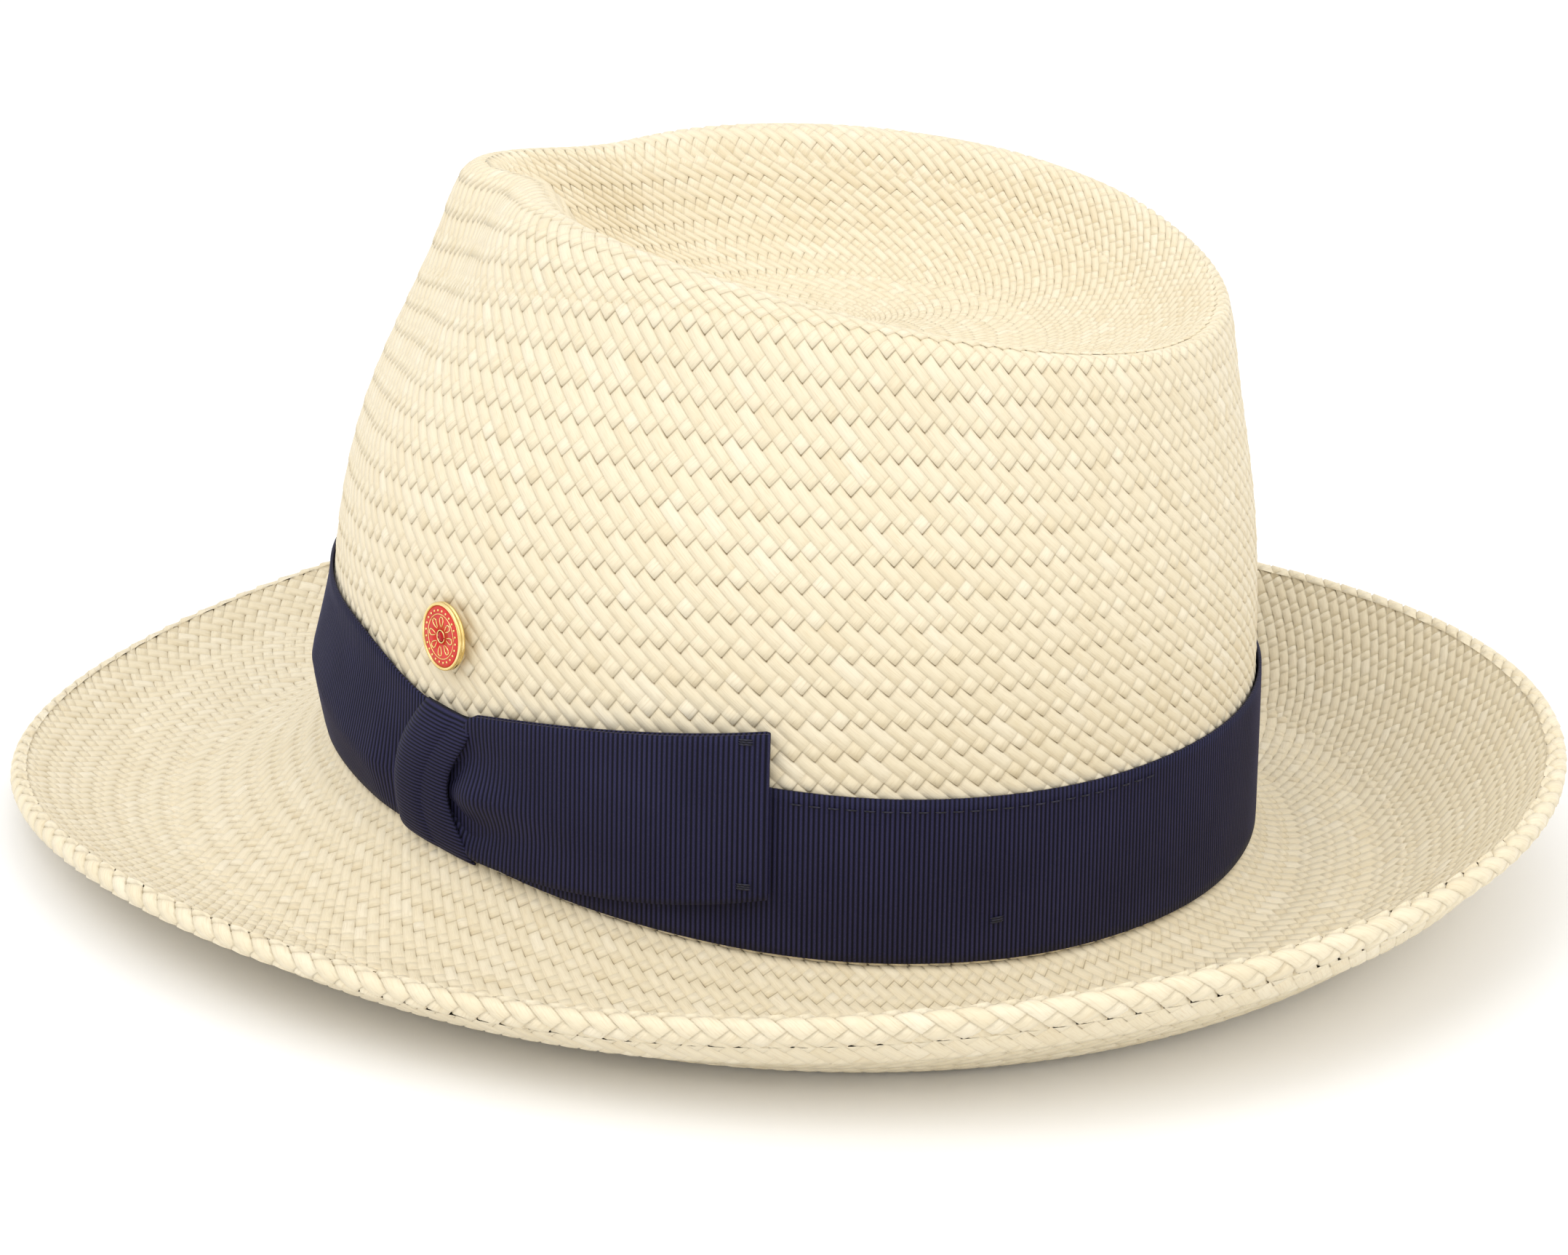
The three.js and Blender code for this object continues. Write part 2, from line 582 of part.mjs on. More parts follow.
// ---------------------------------------------------------------- inside
const BACK = 180;
const SEAM_HALF_GAP = 0.3;        // degrees between the sweatband's two ends and the back
const innerWall = -(STRAW + SWEATBAND_GAP);
const SWEATBAND_START = BREAK_FILLET + 1;
const sweatRow = (a, off) => [0, 0.2, 0.45, 0.75, 1]
  .map((t) => onSide(a, blendTo(SWEATBAND_START, SWEATBAND_HEIGHT, t), off));
const sweatStations = Array.from({ length: AROUND + 1 }, (_, i) => {
  const turn = (360 - 2 * SEAM_HALF_GAP) * (i / AROUND);
  return BACK + SEAM_HALF_GAP + turn;
});
add('sweatband', sheet(
  sweatStations.map((a) => sweatRow(a, innerWall)),
  sweatStations.map((a) => sweatRow(a, innerWall - SWEATBAND_THICKNESS)),
), SWEAT_CLOTH);

const insideFace = innerWall - SWEATBAND_THICKNESS;
const sweatThreadOff = insideFace - GAP - THREAD_RADIUS;
const sweatThreadRoute = ring(AROUND, (a) => onSide(a, SWEATBAND_START + 2, sweatThreadOff));
add('sweatband_thread', rod(sweatThreadRoute, THREAD_RADIUS, true, 6), PAPER);

// the small flat bow that covers the sweatband's seam
const SEAM_BOW_HALF_LENGTH = 11;
const SEAM_BOW_HALF_WIDTH = 3;
const SEAM_BOW_HEIGHT = 13;
const SEAM_BOW_THICKNESS = 0.8;
function seamBow() {
  const outer = insideFace - GAP;
  const stations = [-1, -0.6, -0.2, 0, 0.2, 0.6, 1];
  const rows = (off) => stations.map((x) => {
    const half = SEAM_BOW_HALF_WIDTH * (0.55 + 0.45 * Math.abs(x));
    const a = BACK + (x * SEAM_BOW_HALF_LENGTH) / HEAD_HALF_WIDTH / RAD;
    return [-1, 0, 1].map((y) => onSide(a, SEAM_BOW_HEIGHT + y * half, off));
  });
  return sheet(rows(outer), rows(outer - SEAM_BOW_THICKNESS));
}
add('sweatband_bow', seamBow(), NAVY_RIBBON);

const LABEL_HALF_ANGLE = 5;
const LABEL_MIDDLE = 164;
const LABEL_HEIGHTS = [19, 24, 30];
const LABEL_THICKNESS = 0.4;
const labelRow = (a, off) => LABEL_HEIGHTS.map((h) => onSide(a, h, off));
const labelStations = [-1, -0.5, 0, 0.5, 1].map((x) => LABEL_MIDDLE + x * LABEL_HALF_ANGLE);
add('size_label', sheet(
  labelStations.map((a) => labelRow(a, insideFace - GAP)),
  labelStations.map((a) => labelRow(a, insideFace - GAP - LABEL_THICKNESS)),
), PAPER);

export default hat;
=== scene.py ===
"""A straw fedora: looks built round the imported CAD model. Metres, +Z up, front = -Y, wearer's left = +X."""
import json
import math

import bmesh
import bpy
import numpy as np
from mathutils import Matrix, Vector


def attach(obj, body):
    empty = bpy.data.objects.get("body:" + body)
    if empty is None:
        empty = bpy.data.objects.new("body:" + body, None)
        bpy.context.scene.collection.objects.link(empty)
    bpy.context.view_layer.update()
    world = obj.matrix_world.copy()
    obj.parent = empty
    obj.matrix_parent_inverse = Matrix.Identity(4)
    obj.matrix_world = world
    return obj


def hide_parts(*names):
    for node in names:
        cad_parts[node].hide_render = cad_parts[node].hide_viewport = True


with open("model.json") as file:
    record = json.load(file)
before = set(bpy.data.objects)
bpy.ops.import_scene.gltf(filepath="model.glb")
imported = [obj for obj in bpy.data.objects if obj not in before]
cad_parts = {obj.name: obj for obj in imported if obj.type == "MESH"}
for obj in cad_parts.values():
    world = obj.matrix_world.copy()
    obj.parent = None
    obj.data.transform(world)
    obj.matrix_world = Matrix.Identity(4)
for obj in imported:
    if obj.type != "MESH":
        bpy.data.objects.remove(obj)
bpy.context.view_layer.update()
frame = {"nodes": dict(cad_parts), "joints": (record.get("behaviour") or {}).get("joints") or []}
MM = 0.001

# ---- driving dimensions, millimetres
# The same values as the CAD model's. Angles are degrees from the front, towards the wearer's left.
HEAD_HALF_LENGTH = 103.0
HEAD_HALF_WIDTH = 90.5
STRAW = 1.4
BREAK_HEIGHT = 15.0
CREST_HEIGHT = 133.7
CREST_HALF_LENGTH = 84.0
CREST_HALF_WIDTH = 61.8
CREST_BACK_SHIFT = 9.8
CREST_NARROWING = 0.46
PINCH_ANGLE = 32.0
PINCH_SPREAD = 18.7
PINCH_DEPTH = 10.2
DENT_DEPTH = 24.0
DENT_CENTRE_Y = 16.0
BRIM_WIDTH = 59.0
EDGE_ROLL_RADIUS = 2.2
HEM_WIDTH = 9.0
HEM_SLIT = 0.3
HEM_PRESSED_BY = 4.0
ROLL_LENGTH = math.pi * EDGE_ROLL_RADIUS
HEM_END = ROLL_LENGTH + HEM_WIDTH
HEM_END_RISE = STRAW + HEM_SLIT
RIBBON_WIDTH = 35.5
RIBBON_THICKNESS = 0.6
RIBBON_GAP = 0.5
RIBBON_START = 1.0
KNOT_ANGLE = 70.5
KNOT_SQUEEZE = 6.0
KNOT_SQUEEZE_SPREAD = 13.0
LOOP_START_ANGLE = 73.0
LOOP_END_ANGLE = 113.0
SWEATBAND_HEIGHT = 34.0
SWEATBAND_START = 3.0
SWEATBAND_GAP = 0.5
SWEATBAND_THICKNESS = 0.9
ORIGIN_SHIFT_Y = 4.54

FLOOR_CLEARANCE = 0.05

# the weave
LEVEL = 2.15  # height of one level of crossings
BRIM_LEVEL = 1.70  # the same on the brim, where the straws are closer
TIP_LEVEL = 1.60  # and in the dent, where they are closest
CREST_LEVEL = 1.90  # and over the crest
CROWN_LEAN = 0.11  # how far the rows shift along the ring per level, in crossings
CROWN_COUNT = 147  # crossings in one ring of the crown's side
GROOVE = 0.26  # how far the gaps between straws lie below their tops
PIT = 0.75  # the same at the corners, where straws cross
BEVEL = 0.09  # share of a straw's width over which its edge turns down


# ---- shape of the hat, as in the CAD model
def radians(a):
    return np.radians(np.asarray(a, float))


def series(c, a):
    """A sum of cosines of the angle's multiples, the same on the left and the right."""
    return sum(value * np.cos(k * radians(a)) for k, value in enumerate(c))


def bump(x, centre, spread):
    return np.exp(-(((x - centre) / spread) ** 2))


def smooth(t):
    t = np.clip(t, 0, 1)
    return t * t * (3 - 2 * t)


def unit(v):
    return v / np.maximum(np.linalg.norm(v, axis=-1, keepdims=True), 1e-12)


def break_height(a):
    """Height of the line where the brim meets the crown."""
    return BREAK_HEIGHT + series([0, 8.3, -1, -1.5], a)


def edge_height(a):
    return BREAK_HEIGHT + series([5.8, -10.8, -0.4, -2.3, -1.2], a)


def brim_width(a):
    return series([BRIM_WIDTH, 5, 8.5], a)


def crest_height(a):
    return CREST_HEIGHT + series([0, 7.1, -4.1], a)


def break_point(a):
    x = HEAD_HALF_WIDTH * np.sin(radians(a))
    y = -HEAD_HALF_LENGTH * np.cos(radians(a))
    return np.stack([x, y, break_height(a)], -1)


def outward(a):
    """The level direction straight out of the head's oval."""
    d = break_point(np.asarray(a) + 0.5) - break_point(np.asarray(a) - 0.5)
    return unit(np.stack([d[..., 1], -d[..., 0], np.zeros_like(d[..., 0])], -1))


def crest_point(a):
    front = (1 + np.cos(radians(a))) / 2
    x = CREST_HALF_WIDTH * np.sin(radians(a)) * (1 - CREST_NARROWING * front**2)
    y = CREST_BACK_SHIFT - CREST_HALF_LENGTH * np.cos(radians(a))
    return np.stack([x, y, crest_height(a)], -1)


DENT_CENTRE = np.array([0.0, DENT_CENTRE_Y, float(crest_height(90.0)) - DENT_DEPTH])
# Control points of a meridian: up the side, as shares of the run in, of the rise and of the pinch,
# and then down into the dent, as shares of the way to its centre, of the drop and of the pinch.
SIDE_RISE = [(0.03, 0.3, 0), (0.1, 0.6, 0.35), (0.62, 0.86, 0.8), (0.78, 1.02, 1), (1.08, 1.03, 1)]
SIDE_ROWS = [(0, 0, 0)] * 3 + SIDE_RISE
DENT_ROWS = [(0.15, 0.3, 0.7), (0.3, 0.72, 0.3), (0.55, 1, 0), (0.8, 1, 0)] + [(1, 1, 0)] * 3
SIDE_END = 0.45
BRIM_CURL = 1.86  # how late the brim curls up: the power of its rise


def control_rows(a):
    """The meridian's control points at each angle: (len(a), rows, 3)."""
    base, crest = break_point(a), crest_point(a)
    run_in = crest - base
    rise = run_in[:, 2].copy()
    run_in[:, 2] = 0
    off = (np.asarray(a) + 540) % 360 - 180
    dents = bump(off, PINCH_ANGLE, PINCH_SPREAD) + bump(off, -PINCH_ANGLE, PINCH_SPREAD)
    pinch = -outward(a) * (PINCH_DEPTH * dents)[:, None]
    up = np.array([0, 0, 1.0])
    rows = [base + run_in * r + np.outer(rise * h, up) + pinch * d for r, h, d in SIDE_ROWS]
    for r, drop, d in DENT_ROWS:
        p = crest + (DENT_CENTRE - crest) * r + pinch * d
        p[:, 2] = crest[:, 2] - (crest[:, 2] - DENT_CENTRE[2]) * drop
        rows.append(p)
    return np.stack(rows, 1)


def crown(a, s):
    """The crown's outside: s runs from 0 at the break to 1 at the dent's centre, along a cubic B-spline."""
    a, s = np.broadcast_arrays(np.asarray(a, float), np.asarray(s, float))
    shape = a.shape
    a, s = a.ravel(), s.ravel()
    rows = control_rows(a)
    spans = rows.shape[1] - 3
    u = np.clip(s * spans, 0, spans - 1e-9)
    i = np.floor(u).astype(int)
    f = u - i
    weights = [(1 - f) ** 3, 3 * f**3 - 6 * f**2 + 4, -3 * f**3 + 3 * f**2 + 3 * f + 1, f**3]
    here = np.arange(len(a))
    p = sum(rows[here, i + k] * (w / 6)[:, None] for k, w in enumerate(weights))
    return p.reshape(shape + (3,))


def crown_normal(a, s):
    a, s = np.broadcast_arrays(np.asarray(a, float), np.asarray(s, float))
    s_in = np.minimum(s, 0.985)
    across = crown(a + 1, s_in) - crown(a - 1, s_in)
    up = crown(a, np.minimum(1, s_in + 0.01)) - crown(a, np.maximum(0, s_in - 0.01))
    return unit(np.cross(across, up))


def side_parameter(a, h):
    """The spline parameter at which the crown's side is h above the break."""
    a, h = np.broadcast_arrays(np.asarray(a, float), np.asarray(h, float))
    low, high = np.zeros(a.shape), np.full(a.shape, SIDE_END)
    goal = break_height(a) + h
    for _ in range(22):
        middle = (low + high) / 2
        below = crown(a, middle)[..., 2] < goal
        low, high = np.where(below, middle, low), np.where(below, high, middle)
    return (low + high) / 2


def on_side(a, h, off):
    """A point off millimetres out from the crown's side, h above the break."""
    s = side_parameter(a, h)
    return crown(a, s) + crown_normal(a, s) * np.asarray(off)[..., None]


def brim(a, r):
    """The brim's top: r runs from 0 at the break to 1 at the turned edge."""
    a, r = np.broadcast_arrays(np.asarray(a, float), np.asarray(r, float))
    p = break_point(a) + outward(a) * (r * brim_width(a))[..., None]
    rise = (edge_height(a) - break_height(a)) * np.abs(r) ** BRIM_CURL
    p[..., 2] = np.maximum(p[..., 2] + rise - series([13.7, 2.4], a) * 4 * r * (1 - r), STRAW)
    return p


def brim_normal(a, r):
    slope = brim(a, np.minimum(1, np.asarray(r) + 0.01)) - brim(a, np.maximum(0, np.asarray(r) - 0.01))
    out = outward(a)
    run = (slope * out).sum(-1)
    normal = -out * slope[..., 2:3]
    normal[..., 2] += run
    return unit(normal)


# ---- surfaces: (angle, share) -> point, normal
def even_parameter(curve, low, high, steps=160, around=180):
    """Turns a share of a curve's length at each angle into its parameter, as a lookup function. low and high
    are parameters, or functions of the angle that give them."""
    angles = np.linspace(0, 360, around + 1)
    shares = np.linspace(0, 1, steps + 1)
    first, last = (end(angles) if callable(end) else np.full(around + 1, end) for end in (low, high))
    t = first[:, None] + (last - first)[:, None] * shares
    points = curve(angles[:, None], t)
    lengths = np.linalg.norm(np.diff(points, axis=1), axis=2)
    run = np.concatenate([np.zeros((around + 1, 1)), np.cumsum(lengths, 1)], 1)
    table = np.stack([np.interp(shares, row / row[-1], values) for row, values in zip(run, t)])
    mean_length = float(run[:, -1].mean())

    def lookup(a, share):
        x = (np.asarray(a, float) % 360) / 360 * around
        y = np.clip(share, 0, 1) * steps
        i, j = np.minimum(x.astype(int), around - 1), np.minimum(y.astype(int), steps - 1)
        fx, fy = x - i, y - j
        near = table[i, j] * (1 - fy) + table[i, j + 1] * fy
        far = table[i + 1, j] * (1 - fy) + table[i + 1, j + 1] * fy
        return near * (1 - fx) + far * fx

    return lookup, mean_length


def crown_surface(low, high):
    """The crown's outside between two values of its parameter."""
    lookup, length = even_parameter(crown, low, high)

    def surface(a, share):
        s = lookup(a, share)
        return crown(a, s), crown_normal(a, s)

    return surface, length


def brim_surface(low, high):
    """The brim's top; share 1 is its inner end, as the share runs towards the tip on the crown."""
    lookup, length = even_parameter(brim, low, high)

    def surface(a, share):
        r = lookup(a, 1 - share)
        return brim(a, r), brim_normal(a, r)

    return surface, length


def inner_side(surface):
    """The same sheet of straw seen from its other side."""
    def other(a, share):
        p, n = surface(a, share)
        return p - n * STRAW, -n
    return other


def edge_frame(a):
    """The middle of the turned edge's roll, and the directions out of it and up from it."""
    up = brim_normal(a, np.ones_like(a))
    out = outward(a) * up[..., 2:3]
    out[..., 2] -= (up * outward(a)).sum(-1)
    return brim(a, np.ones_like(a)) - up * EDGE_ROLL_RADIUS, out, up


def roll_path(a, d):
    """The outside of the turned edge: d runs from 0 at the brim's top over the roll to the hem's inner end,
    and up that end to the brim's underside."""
    a, d = np.broadcast_arrays(np.asarray(a, float), np.asarray(d, float))
    centre, out, up = edge_frame(a)
    turn = math.pi / 2 - np.clip(d, 0, ROLL_LENGTH) / EDGE_ROLL_RADIUS
    n = unit(out * np.cos(turn)[..., None] + up * np.sin(turn)[..., None])
    back = np.clip(d - ROLL_LENGTH, 0, HEM_WIDTH)
    r = 1 - back / brim_width(a)
    pressed, full = 2 * STRAW + HEM_SLIT, 2 * EDGE_ROLL_RADIUS
    rise = np.clip(d - HEM_END, 0, HEM_END_RISE)
    depth = full + (pressed - full) * smooth(back / HEM_PRESSED_BY) - rise
    under = brim(a, r) - brim_normal(a, r) * depth[..., None]
    inward = (smooth(rise / HEM_END_RISE * 2))[..., None]
    hem_normal = unit(-brim_normal(a, r) * (1 - inward) - outward(a) * inward)
    on_hem = (d > ROLL_LENGTH)[..., None]
    return np.where(on_hem, under, centre + n * EDGE_ROLL_RADIUS), np.where(on_hem, hem_normal, n)


def edge_surface(low, high):
    """Part of the turned edge; share 1 is its end nearer to the brim's top."""
    def surface(a, share):
        return roll_path(a, high + (low - high) * np.asarray(share))
    return surface, high - low


def corner_surface():
    """The outside of the bend between brim and crown has no width; its inner side is a quarter circle."""
    def surface(a, share):
        turn = (np.asarray(share) * math.pi / 2)[..., None]
        up = brim_normal(a, np.zeros_like(a))
        return break_point(a), unit(up * np.cos(turn) + outward(a) * np.sin(turn))
    return surface, STRAW * math.pi / 2


# ---- mesh making
def make_mesh(name, points, quads, material):
    mesh = bpy.data.meshes.new(name)
    mesh.vertices.add(len(points))
    placed = (np.asarray(points) + [0, ORIGIN_SHIFT_Y, 0]) * MM
    mesh.vertices.foreach_set("co", placed.astype(np.float32).ravel())
    mesh.loops.add(quads.size)
    mesh.loops.foreach_set("vertex_index", quads.astype(np.int32).ravel())
    mesh.polygons.add(len(quads))
    mesh.polygons.foreach_set("loop_start", np.arange(0, quads.size, quads.shape[1], dtype=np.int32))
    mesh.polygons.foreach_set("use_smooth", np.ones(len(quads), bool))
    mesh.update(calc_edges=True)
    mesh.materials.append(material)
    obj = bpy.data.objects.new(name, mesh)
    bpy.context.scene.collection.objects.link(obj)
    return obj


def set_attribute(mesh, name, domain, values):
    kind = "FLOAT" if values.ndim == 1 else "FLOAT_VECTOR"
    field = "value" if kind == "FLOAT" else "vector"
    attribute = mesh.attributes.new(name, kind, domain)
    attribute.data.foreach_set(field, values.astype(np.float32).ravel())


def finish_piece(obj, body, slot, *nodes):
    """Gives a piece its body, and hides the CAD nodes that it replaces. slot is not used."""
    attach(obj, body)
    if nodes:
        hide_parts(*nodes)
    return obj


# ---- the weave
# Straws cross on a square lattice turned by 45 degrees. Crossing (x, y) lies at level y - x.
# Of every three levels, two show a straw that runs down to the right and one shows a straw
# that runs up to the right, which is a 2/1 twill.
FINE_STEPS = np.array([0, BEVEL, 0.5, 1 - BEVEL])
COARSE_STEPS = np.array([0, BEVEL, 1 - BEVEL])
UNEVEN = 0.085  # how far a straw's edge strays, as a share of its width
ARCH = 0.24  # how much a straw's middle stands over its ends
TERRACE = 0.24  # how much a row's lower edge stands over its upper edge
PLAIN_GAP = 0.36  # openness of an ordinary gap between two straws
LONG_EDGE_GAP, SHORT_EDGE_GAP = 0.46, 0.48  # the least along the edge under a row of short straws
OPEN_CORNER, CORNER, CLOSED_CORNER = 0.75, 0.5, 0.45
TUCK_DEPTH = 0.42  # how far a sheet goes under the next one
TUCK_LEVELS = 1.7


def random_share(*parts):
    """A repeatable share from 0 to 1 for each set of whole numbers."""
    total = sum(np.asarray(part) * factor for part, factor in zip(parts, (12.9898, 78.233, 37.719)))
    return np.mod(np.sin(total) * 43758.5453, 1)


def even_position(index, steps):
    """Place of a mesh line across the straws, if all were as wide."""
    return np.floor_divide(index, len(steps)) + steps[np.mod(index, len(steps))]


def lattice_position(index, steps, count, seed):
    """Place of a mesh line across the straws, whose own edges stray a little."""
    n = len(steps)
    straw, share = np.floor_divide(index, n), steps[np.mod(index, n)]

    def stray(line):
        return UNEVEN * (2 * random_share(np.mod(line, count), seed) - 1)

    return straw + share + stray(straw) * (1 - share) + stray(straw + 1) * share


def crossing_kind(index_x, index_y, n):
    """0 for the upper and 2 for the lower half of a long straw, 1 for a short one."""
    return np.mod(np.floor_divide(index_y, n) - np.floor_divide(index_x, n), 3)


def straw_height(along_x, along_y, kind):
    """A straw rises from under one neighbour and dips under the next; each row stands over the one below."""
    run = np.where(kind == 0, along_x, along_x + 1) / 2
    arch = np.where(kind == 1, np.sin(np.pi * along_y), np.sin(np.pi * np.clip(run, 0, 1)))
    level = np.where(kind == 0, 3, kind) + along_y - along_x
    terrace = 0.5 - np.clip((level - 0.5) / 3, 0, 1)
    return ARCH * np.clip(arch, 0, 1) ** 0.55 - ARCH / 2, TERRACE * terrace


def gap_depths(grid_x, grid_y, steps, kind):
    """How open the weave is at each mesh point, from 0 on a straw to 1. It is most open along the lower edge
    of each row of short straws, where the row stands over the long ones below it. The straw's material paints
    shade in the gaps by this openness."""
    n = len(steps)
    on_x, on_y = np.mod(grid_x, n) == 0, np.mod(grid_y, n) == 0
    along_x = steps[np.mod(grid_x, n)]
    corner_kind = crossing_kind(grid_x, grid_y, n)
    openness = random_share(np.floor_divide(grid_x, n), corner_kind, np.floor_divide(grid_y, n))
    inside_a_straw = on_x & (kind == 2) & ~on_y
    depth = np.where((on_x | on_y) & ~inside_a_straw, PLAIN_GAP, 0.0)
    depth = np.where(on_x & (kind == 0) & ~on_y, LONG_EDGE_GAP + 0.2 * openness, depth)
    depth = np.where(on_y & (kind == 1) & ~on_x, SHORT_EDGE_GAP + 0.45 * openness * along_x, depth)
    corner = np.choose(corner_kind, [OPEN_CORNER + 0.25 * openness, CORNER, CLOSED_CORNER])
    return np.where(on_x & on_y, corner, depth)


def straw_relief(grid_x, grid_y, steps):
    """(height over the surface, openness) at each mesh point."""
    n = len(steps)
    kind = crossing_kind(grid_x, grid_y, n)
    depth = gap_depths(grid_x, grid_y, steps, kind)
    height, terrace = straw_height(steps[np.mod(grid_x, n)], steps[np.mod(grid_y, n)], kind)
    deeper = np.clip(depth - PLAIN_GAP, 0, 1) / (1 - PLAIN_GAP)
    height = np.where(depth > 0, -GROOVE - (PIT - GROOVE) * deeper, height)
    return height + terrace * (1 - deeper), depth


def weave_faces(x, w, raw_level, levels, n, over):
    """(corners, x, y) of each face of the sheet, with x and y of its first corner."""
    rows = len(w)
    i, j = (part.ravel() for part in np.meshgrid(x, np.arange(1, rows - 1), indexing="ij"))
    # from the last mesh line to the first is a whole turn for both directions, so w doesn't change
    after = (i + 1) % len(x)
    corners = np.stack([i * rows + j, after * rows + j - 1, after * rows + j, i * rows + j + 1], 1)
    raw = raw_level.ravel()[corners]
    whole = np.floor_divide(i + w[j], n) - np.floor_divide(i, n) >= 1
    keep = (whole if over else raw.max(1) > 1e-6) & (raw.min(1) < levels - 1e-6)
    return corners[keep], i[keep], (i + w[j])[keep]


def label_straws(mesh, first_x, first_y, steps, count):
    """Stores each face's straw, and each corner's place along and across it, for the material."""
    n = len(steps)
    straw_x, straw_y = np.floor_divide(first_x, n), np.floor_divide(first_y, n)
    kind = crossing_kind(first_x, first_y, n)
    owner_x = np.where(kind == 2, straw_x - 1, straw_x)
    seed = random_share(np.mod(owner_x, count), straw_y - owner_x)
    set_attribute(mesh, "straw", "FACE", seed)
    place_x = even_position(first_x[:, None] + np.array([0, 1, 1, 0]), steps) - owner_x[:, None]
    place_y = even_position(first_y[:, None] + np.array([0, 0, 1, 1]), steps) - straw_y[:, None]
    short = (kind == 1)[:, None]
    along, across = np.where(short, place_y, place_x), np.where(short, place_x, place_y)
    fibre = np.stack([along, across, np.repeat(seed[:, None], 4, 1)], -1)
    set_attribute(mesh, "fibre", "CORNER", fibre.reshape(-1, 3))


def weave(name, count, levels, surface, material, relief=1.0, steps=FINE_STEPS, tucked=False,
          over=False, lean=0.0):
    """A sheet of twill over a surface, as one continuous mesh with its gaps modelled. The lower edge of a
    sheet that lies over another follows its straws; an upper edge can be tucked under the next sheet."""
    n = len(steps)
    x = np.arange(count * n)
    w = np.arange(-2 * n, (levels + 2) * n + 1)
    grid_x, grid_w = np.meshgrid(x, w, indexing="ij")
    grid_y = grid_x + grid_w
    px = lattice_position(grid_x, steps, count, 1)
    py = lattice_position(grid_y, steps, count, 2)
    raw_level = py - px
    turn = ((px + py) / 2 - lean * raw_level) / count * 360
    height, depth = straw_relief(grid_x, grid_y, steps)
    height = height * relief
    if tucked:
        height = height - TUCK_DEPTH * smooth(raw_level - (levels - TUCK_LEVELS))

    points, normals = surface(turn, np.clip(raw_level / levels, 0, 1))
    points = points + normals * height[..., None]
    points[..., 2] = np.maximum(points[..., 2], FLOOR_CLEARANCE)
    corners, first_x, first_y = weave_faces(x, w, raw_level, levels, n, over)
    used, quads = np.unique(corners, return_inverse=True)
    obj = make_mesh(name, points.reshape(-1, 3)[used], quads.reshape(-1, 4), material)
    label_straws(obj.data, first_x, first_y, steps, count)
    # openness, which the straw's material turns into painted shade in the gaps
    set_attribute(obj.data, "depth", "POINT", depth.ravel()[used])
    return obj


# ---- ribbons and other thin strips
RIB_PITCH = 0.95
RIB_HEIGHT = 0.17
RIB_STEPS = 4
SELVEDGE = 1.2  # the flatter border of a ribbon


def ring_quads(rings, around, closed=False):
    """Faces between neighbouring rings of points; closed joins the last ring to the first."""
    spans = np.arange(rings if closed else rings - 1)
    i, k = (part.ravel() for part in np.meshgrid(spans, np.arange(around), indexing="ij"))
    here, after = i * around, (i + 1) % rings * around
    after_k = (k + 1) % around
    return np.stack([here + k, here + after_k, after + after_k, after + k], 1)


def with_other_side(values):
    """Values on a strip's face, and then the same on its back, in the order round the strip."""
    return np.concatenate([values, values[:, ::-1]], 1)


def strip_normal(place, s, v, step=1e-3):
    along = place(s + step, v) - place(s - step, v)
    across = place(s, np.minimum(1, v + step)) - place(s, np.maximum(0, v - step))
    return unit(np.cross(along, across))


def strip(name, place, length, width, rows, material, thickness=RIBBON_THICKNESS, closed=False,
          pitch=RIB_PITCH, rib_height=RIB_HEIGHT):
    """A closed, ribbed strip. place(s, v) gives its middle; s runs along it and v across it, both 0 to 1,
    and the ribbed face looks along s x v."""
    ribs = round(length / pitch)
    count = ribs * RIB_STEPS + (0 if closed else 1)
    s, v = np.meshgrid(np.arange(count) / (ribs * RIB_STEPS), np.linspace(0, 1, rows), indexing="ij")
    middle, normal = place(s, v), strip_normal(place, s, v)
    rib = np.abs(np.sin(np.pi * s * ribs))
    selvedge = smooth(np.minimum(v, 1 - v) * width / SELVEDGE)
    lift = thickness / 2 + rib_height * (rib - 0.5) * (0.35 + 0.65 * selvedge)
    face, back = middle + normal * lift[..., None], middle - normal * lift[..., None]
    points = np.concatenate([face, back[:, ::-1]], 1)
    loop = 2 * rows
    quads = ring_quads(count, loop, closed)[:, [0, 3, 2, 1]]
    if not closed:
        k = np.arange(rows - 1)
        start = np.stack([k, k + 1, loop - 2 - k, loop - 1 - k], 1)
        quads = np.concatenate([quads, start, (count - 1) * loop + start[:, ::-1]])
    obj = make_mesh(name, points.reshape(-1, 3), quads, material)
    # the rib's profile across the strip, which the navy ribbon's material also uses for painted shade in the
    # grooves
    set_attribute(obj.data, "rib", "POINT", with_other_side(rib).ravel())
    weft = np.stack([s * length, v * width, np.zeros_like(rib)], -1)
    set_attribute(obj.data, "weft", "POINT", with_other_side(weft).reshape(-1, 3))
    return obj


def tube(route, radius, sides=6):
    """(points, quads) of a round tube with rounded ends along a route."""
    route = np.asarray(route, float)
    tangent = unit(np.gradient(route, axis=0))
    helper = np.where(np.abs(tangent[:, 2:3]) > 0.8, [[1.0, 0, 0]], [[0, 0, 1.0]])
    u = unit(np.cross(helper, tangent))
    v = np.cross(tangent, u)
    turn = np.arange(sides) * 2 * np.pi / sides
    size = radius * np.sqrt(np.clip(1 - np.linspace(-1, 1, len(route)) ** 8, 0.02, 1))
    ring = np.cos(turn)[None, :, None] * u[:, None] + np.sin(turn)[None, :, None] * v[:, None]
    points = route[:, None] + ring * size[:, None, None]
    k = np.arange(sides // 2 - 1)
    cap = np.stack([k, k + 1, sides - 2 - k, sides - 1 - k], 1)
    quads = [ring_quads(len(route), sides), cap[:, ::-1], (len(route) - 1) * sides + cap]
    return points.reshape(-1, 3), np.concatenate(quads)


